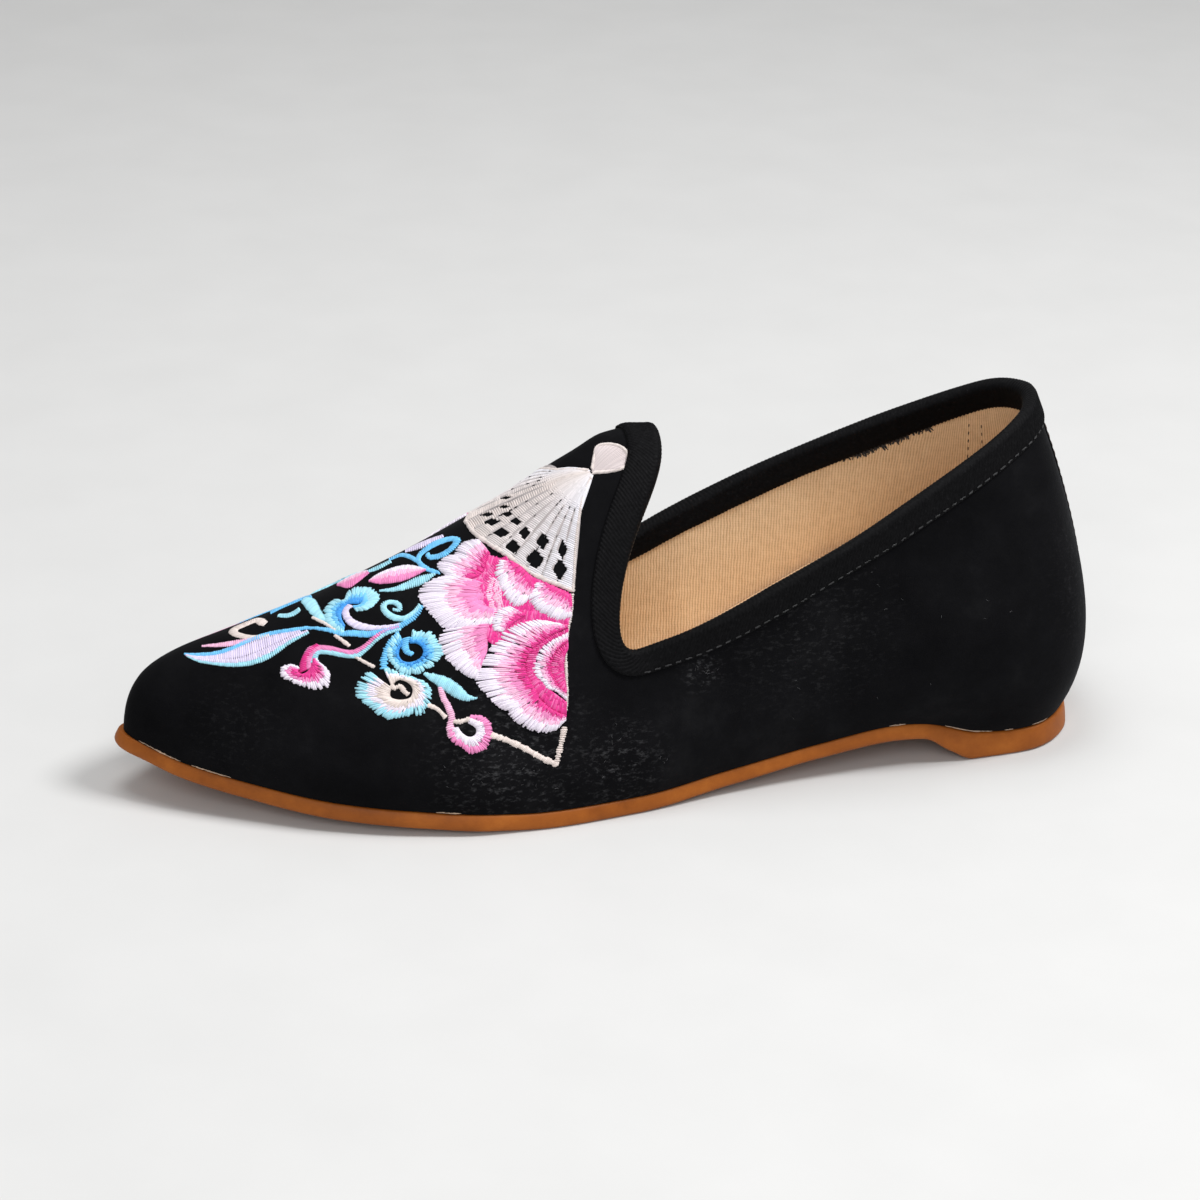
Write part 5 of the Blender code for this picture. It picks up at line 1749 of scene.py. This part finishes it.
class Threads:
    """Stitches gathered for one piece: start, end, colour, layer, width and belly of each."""

    def __init__(self, seed):
        self.dice = random.Random(seed)
        self.stitches = []

    def stitch(self, start, end, colour, layer=0, width=THREAD, belly=1.0):
        shade = 1.0 + self.dice.uniform(-0.16, 0.06)
        self.stitches.append((np.asarray(start, float), np.asarray(end, float),
                              tuple(min(c * shade, 1.0) for c in colour), layer, width, belly))

    def fringe(self, root, tip, shades, layer, ragged=0.4):
        """Long and short stitches from a root line to a ragged tip line, one colour a layer."""
        root, tip = Line(root), Line(tip)
        reach_mm = max(np.linalg.norm(tip.at(0.5) - root.at(0.5)), 2.0)
        for order, (low, high, colour) in enumerate(shades):
            length = blend(root.length, tip.length, high)
            count = max(int(length / FRINGE_PITCH), 2)
            for n in range(count + 1):
                s = (n + self.dice.uniform(-0.25, 0.25)) / count
                a, b = root.at(s), tip.at(s + self.dice.uniform(-0.012, 0.012))
                start = low if low == 0.0 else low + self.dice.uniform(-0.12, 0.10)
                if high == 1.0:
                    end = 1.0 + ragged * self.dice.uniform(-1.0, 0.55) / reach_mm
                else:
                    end = high + self.dice.uniform(-0.14, 0.12)
                if self.dice.random() < SKIPPED and order == 0:
                    continue
                self.stitch(blend(a, b, start), blend(a, b, end), colour, layer + order,
                            THREAD * (1.0 if order else OUTER_WIDE))
                if self.dice.random() < DASHES and order:
                    spot = self.dice.uniform(low, high)
                    self.stitch(blend(a, b, spot), blend(a, b, spot + DASH_LENGTH / reach_mm),
                                BLACK, layer + order + 1, DASH_WIDTH)

    def satin(self, first, second, shades, layer, pitch=THREAD, ragged=0.18):
        """Stitches straight across from one edge to the other."""
        first, second = Line(first), Line(second)
        count = max(int(max(first.length, second.length) / pitch), 2)
        for n in range(count + 1):
            a, b = first.at(n / count), second.at(n / count)
            grow = ragged / max(np.linalg.norm(b - a), SHORTEST)
            for order, (low, high, colour) in enumerate(shades):
                start = low - (grow * self.dice.random() if low == 0.0
                               else self.dice.uniform(-0.1, 0.1))
                end = high + (grow * self.dice.random() if high == 1.0
                              else self.dice.uniform(-0.1, 0.1))
                self.stitch(blend(a, b, start), blend(a, b, end), colour, layer + order)

    def fill(self, first, second, colour, layer):
        """Rows of short stitches of uneven length and tone between two edges."""
        first, second = Line(first), Line(second)
        colour, light = np.array(colour), np.array(WHITE if colour == PALE else PINK)
        count = max(int(max(first.length, second.length) / FILL_PITCH), 2)
        for n in range(count + 1):
            a, b = first.at(n / count), second.at(n / count)
            span = max(np.linalg.norm(b - a), SHORTEST)
            place = -self.dice.uniform(0.0, 0.4)
            while place < span:
                length = self.dice.uniform(*FILL_LENGTHS)
                tone = blend(colour, light, self.dice.choice(FILL_TONES))
                lift = self.dice.choice((0.0, 0.4))
                end = min((place + length) / span, 1.05)
                self.stitch(blend(a, b, place / span), blend(a, b, end), tone, layer + lift,
                            belly=0.2)
                place += 0.8 * length

    def line(self, spots, width, shades, layer, slant=0.15):
        """A narrow bar of slanting stitches along a line."""
        path = Line(spots)
        count = max(int(path.length / LINE_PITCH), 2)
        for n in range(count + 1):
            s = n / count
            here = path.at(s)
            along = path.at(s + 0.01) - path.at(s - 0.01)
            along /= max(np.linalg.norm(along), 1e-9)
            across = np.array([-along[1], along[0]])
            half = 0.5 * width * self.dice.uniform(0.72, 1.2)
            lean = slant * width * along
            self.stitch(here - across * half - lean, here + across * half + lean,
                        shades[0][2], layer)

    def build(self, name):
        """One mesh piece: a low rounded strip for every stitch, closed below the cloth."""
        starts, ends, colours, layers, widths, bellies = map(np.array, zip(*self.stitches))
        share = np.linspace(0.0, 1.0, SAMPLES)
        flat = (starts[:, None, :] * (1 - share)[None, :, None]
                + ends[:, None, :] * share[None, :, None]).reshape(-1, 2)
        points, normals = (found.reshape(len(starts), SAMPLES, 3) for found in on_vamp(flat))
        arch = np.sin(math.pi * share) ** 0.5
        lengths = np.linalg.norm(points[:, -1] - points[:, 0], axis=1) / MM
        bow = BELLY * np.minimum(lengths, BELLY_REACH) * bellies
        belly = bow[:, None] * np.sin(math.pi * share)
        rise = (THREAD_RISE * arch[None, :] + belly + LIFT * layers[:, None]) * MM
        base = (LIFT * layers[:, None] * 0.5 * arch[None, :] - SINK) * MM
        half = 0.5 * widths[:, None] * MM * (STITCH_END + STITCH_GAIN * arch)[None, :]
        verts, faces = thread_mesh(points, normals, half, rise, base)
        thing = add_piece(name, verts, faces, silk, OUTER_CLOTH, sharp=THREAD_EDGE)
        layer = thing.data.color_attributes.new("thread", "FLOAT_COLOR", "POINT")
        rgba = np.ones((len(verts), 4))
        rgba[:, :3] = np.repeat(colours, SAMPLES * 4, axis=0)
        layer.data.foreach_set("color", rgba.ravel())


# The middle of the design, about which the inner side repeats the outer: t at places along x
AXIS_X, AXIS_T = (-50.0, -36.0, -5.0), (5.0, 1.0, -9.0)
INNER_SCALE = 0.85
ORDER_LIFT = 0.45       # each later petal of the peony lies this many layers higher
OWN_SIDE = ("beige_curl", "small_blue_curl", "small_blue_curl_b", "aqua_leaf_top", "hook",
            "pink_leaf", "aqua_leaf_b", "arc_thin", "pink_leaf_b", "aqua_leaf_c",
            "lilac_leaf_top", "stem_beige_a")


def inner_copy(spots):
    """The same spots on the inner side, mirrored and a little closer to the middle."""
    middles = [float(np.interp(x, AXIS_X, AXIS_T)) for x, _ in spots]
    return [(x, 2.0 * m - blend(m, t, INNER_SCALE)) for m, (x, t) in zip(middles, spots)]


def sew(threads, motif, a, b, over):
    shades = SHADES[motif.shades]
    layer = motif.layer + over
    if motif.kind == "fringe":
        threads.fringe(a, b, shades, layer + 1)
    elif motif.kind == "line":
        threads.line(a, motif.width, shades, layer)
    elif motif.kind == "fill":
        threads.fill(a, b, shades[0][2], layer)
    else:
        threads.satin(a, b, shades, layer)


def embroider_motifs():
    for number, side in enumerate(("outer", "inner")):
        petals, scrolls = Threads(11 + number), Threads(31 + number)
        for order, motif in enumerate(MOTIFS):
            a, b = motif.a, motif.b
            if side == "inner":
                if motif.name in OWN_SIDE:
                    continue
                a, b = inner_copy(a), inner_copy(b)
            petal = motif.name.startswith("petal")
            sew(petals if petal else scrolls, motif, a, b, ORDER_LIFT * order if petal else 0.0)
        petals.build("peony_threads_" + side)
        scrolls.build("scroll_threads_" + side)


# The fan, by shares from the pivot to the arc: where its leaf and its sticks' rows begin, how
# far its spread threads go, and the stitches down the leaf and across a stick
LEAF_START, STICK_START, SPREAD_END = 0.30, 0.34, 0.36
LEAF_ROWS, LEAF_SPOTS, STICK_SPOTS, SPREAD_ROWS = 64, 40, 16, 44
STICK_GAP = 0.018       # gap at each side of a stick, as a share of it
STICK_DASH = 0.24       # share of the places between sticks that get a black dash
DASH_PITCH, DASH_REACH = 0.045, 0.03
# A cut-out's reach along both of its own axes together, along the first and the second
HOLE_BOTH, HOLE_WIDE, HOLE_HIGH = 1.34, 1.2, 1.25


def fan_spot(left, right, arc, s, r):
    """Point of the fan at share s from its left edge and share r from the pivot to the arc."""
    edge_a, edge_b = left.at(r), right.at(r)
    corner_a, corner_b = left.at(1.0), right.at(1.0)
    return blend(edge_a, edge_b, s) + r * (arc.at(s) - blend(corner_a, corner_b, s))


def in_hole(spot, holes):
    """Whether a spot lies in a cut-out, each a diamond with its points cut off."""
    for centre, wide, high in holes:
        ex, ey = np.subtract(wide, centre) * 0.5, np.subtract(high, centre) * 0.5
        u, v = np.linalg.solve(np.column_stack([ex, ey]), spot - np.array(centre))
        if abs(u) + abs(v) < HOLE_BOTH and abs(u) < HOLE_WIDE and abs(v) < HOLE_HIGH:
            return True
    return False


def stitch_between(threads, spots, holes, least, *looks, belly):
    """A stitch for each run of at least so many neighbouring spots outside the cut-outs."""
    run = []
    for spot in [*spots, None]:
        if spot is not None and not in_hole(spot, holes):
            run.append(spot)
            continue
        if len(run) >= least:
            threads.stitch(run[0], run[-1], *looks, belly=belly)
        run = []


def embroider_fan(name, left, arc, right, holes, sticks, seed):
    """The fan's leaf in threads of a painted shade, then its sticks, the spread by the pivot, rim
    and guard.
    """
    threads = Threads(seed)
    left, arc, right = Line(left), Line(arc), Line(right)

    def at(s, r):
        return fan_spot(left, right, arc, s, r)

    def tone(share):
        return blend(np.array(IVORY), np.array(CHALK), share)

    for k in range(LEAF_ROWS + 1):
        spots = [at(k / LEAF_ROWS, r) for r in np.linspace(LEAF_START, 1.0, LEAF_SPOTS)[:-1]]
        stitch_between(threads, spots, holes, 3, SHADOW, 0, belly=0.0)
    for stick in range(1, sticks):
        for r in np.arange(STICK_START, 0.97, DASH_PITCH):
            start, end = at(stick / sticks, r), at(stick / sticks, r + DASH_REACH)
            if threads.dice.random() < STICK_DASH and not in_hole(start, holes):
                threads.stitch(start, end, BLACK, 3, 0.20, belly=0.0)
    rows = int(0.5 * (left.length + right.length) / STICK_PITCH)
    for stick in range(sticks):
        low, high = (stick + STICK_GAP) / sticks, (stick + 1 - STICK_GAP) / sticks
        for row in range(int(LEAF_START * rows), rows + 1):
            spots = [at(blend(low, high, k / STICK_SPOTS), row / rows)
                     for k in range(STICK_SPOTS + 1)]
            stitch_between(threads, spots, holes, 2, tone(stick / (sticks - 1)), 1.5, belly=0.5)
    for k in range(SPREAD_ROWS + 1):
        s = k / SPREAD_ROWS
        far = SPREAD_END + threads.dice.uniform(-0.04, 0.05)
        threads.stitch(at(s, 0.02), at(s, far), tone(s), 1, belly=0.5)
    rim = [at(s, 1.015) for s in np.linspace(0.0, 1.0, 24)]
    threads.line(rim, 0.9, SHADES["ivory"], 2, slant=0.5)
    guard = [at(1.0, r) for r in np.linspace(0.05, 1.0, 12)]
    threads.line(guard, 0.8, SHADES["ivory"], 2, slant=0.5)
    threads.build(name)


def embroider_knob():
    threads = Threads(71)
    near = [KNOB[n] for n in (9, 0, 1, 2)]
    far = [KNOB[n] for n in (8, 7, 6, 5, 4, 3)]
    threads.satin(near, far, SHADES["knob"], 1, pitch=KNOB_PITCH)
    threads.line([*KNOB[1:], KNOB[0]], 0.7, SHADES["ivory"], 2, slant=0.8)
    threads.build("fan_knob_threads")


embroider_motifs()
embroider_fan("fan_threads_outer", FAN_MIDDLE, FAN_ARC, FAN_RIGHT, FAN_HOLES, 8, 51)
INNER_ARC = [FAN_ARC[0]] + inner_copy(FAN_ARC[2:])
INNER_HOLES = [inner_copy(hole) for hole in FAN_HOLES[:6]] + list(FAN_HOLES[-3:])
embroider_fan("fan_threads_inner", FAN_MIDDLE, INNER_ARC, FAR_GUARD, INNER_HOLES, 6, 52)
embroider_knob()


# Floor, light and camera

FLOOR_HALF = 6.0
# Lights: name, place, aim, size in metres, power in watts
LIGHTS = (("key", (0.58, -0.24, 1.08), (0.0, 0.0, 0.04), 0.40, 10.8),
          ("top", (-0.15, 0.10, 1.20), (0.0, 0.0, 0.03), 0.6, 4.9),
          ("fill", (-0.32, -1.10, 0.80), (0.0, 0.0, 0.04), 0.8, 5.4))
WORLD_STRENGTH = 0.35
# Camera: turn, height and roll in degrees, distance and aim in metres, lens in mm
TURN, RISE, ROLL = -14.8, 25.72, 1.64
DISTANCE = 0.90228
AIM = Vector((-0.00114, 0.0, 0.04085)) - MIDDLE
LENS, SENSOR, CLIP_START = 105.90, 36.0, 0.05


def make_stage():
    mesh = bpy.data.meshes.new("floor")
    corners = ((-1, -1), (1, -1), (1, 1), (-1, 1))
    mesh.from_pydata([(x * FLOOR_HALF, y * FLOOR_HALF, 0) for x, y in corners], [],
                     [(0, 1, 2, 3)])
    mesh.materials.append(floor_material())
    floor = bpy.data.objects.new("floor", mesh)
    bpy.context.scene.collection.objects.link(floor)


def make_light():
    world = bpy.data.worlds.new("studio")
    world.use_nodes = True
    back = world.node_tree.nodes["Background"]
    back.inputs["Color"].default_value = (1.0, 1.0, 1.0, 1.0)
    back.inputs["Strength"].default_value = WORLD_STRENGTH
    bpy.context.scene.world = world
    for name, spot, aim, size, power in LIGHTS:
        data = bpy.data.lights.new(name, "AREA")
        data.shape = "DISK"
        data.size = size
        data.energy = power
        thing = bpy.data.objects.new(name, data)
        thing.location = spot
        thing.rotation_mode = "QUATERNION"
        thing.rotation_quaternion = (Vector(aim) - Vector(spot)).to_track_quat("-Z", "Y")
        bpy.context.scene.collection.objects.link(thing)


def make_camera():
    data = bpy.data.cameras.new("camera")
    data.sensor_width = SENSOR
    data.lens = LENS
    data.clip_start = CLIP_START
    camera = bpy.data.objects.new("camera", data)
    a, e, roll = (math.radians(v) for v in (TURN, RISE, ROLL))
    back = Vector((math.sin(a) * math.cos(e), -math.cos(a) * math.cos(e), math.sin(e)))
    right = Vector((math.cos(a), math.sin(a), 0.0))
    up = back.cross(right)
    side = math.cos(roll) * right + math.sin(roll) * up
    top = -math.sin(roll) * right + math.cos(roll) * up
    camera.matrix_world = Matrix((
        (side.x, top.x, back.x, 0.0), (side.y, top.y, back.y, 0.0),
        (side.z, top.z, back.z, 0.0), (0.0, 0.0, 0.0, 1.0)))
    camera.matrix_world.translation = AIM + back * DISTANCE
    bpy.context.scene.collection.objects.link(camera)
    bpy.context.scene.camera = camera


make_stage()
make_light()
make_camera()

bpy.context.scene.view_settings.view_transform = "Standard"
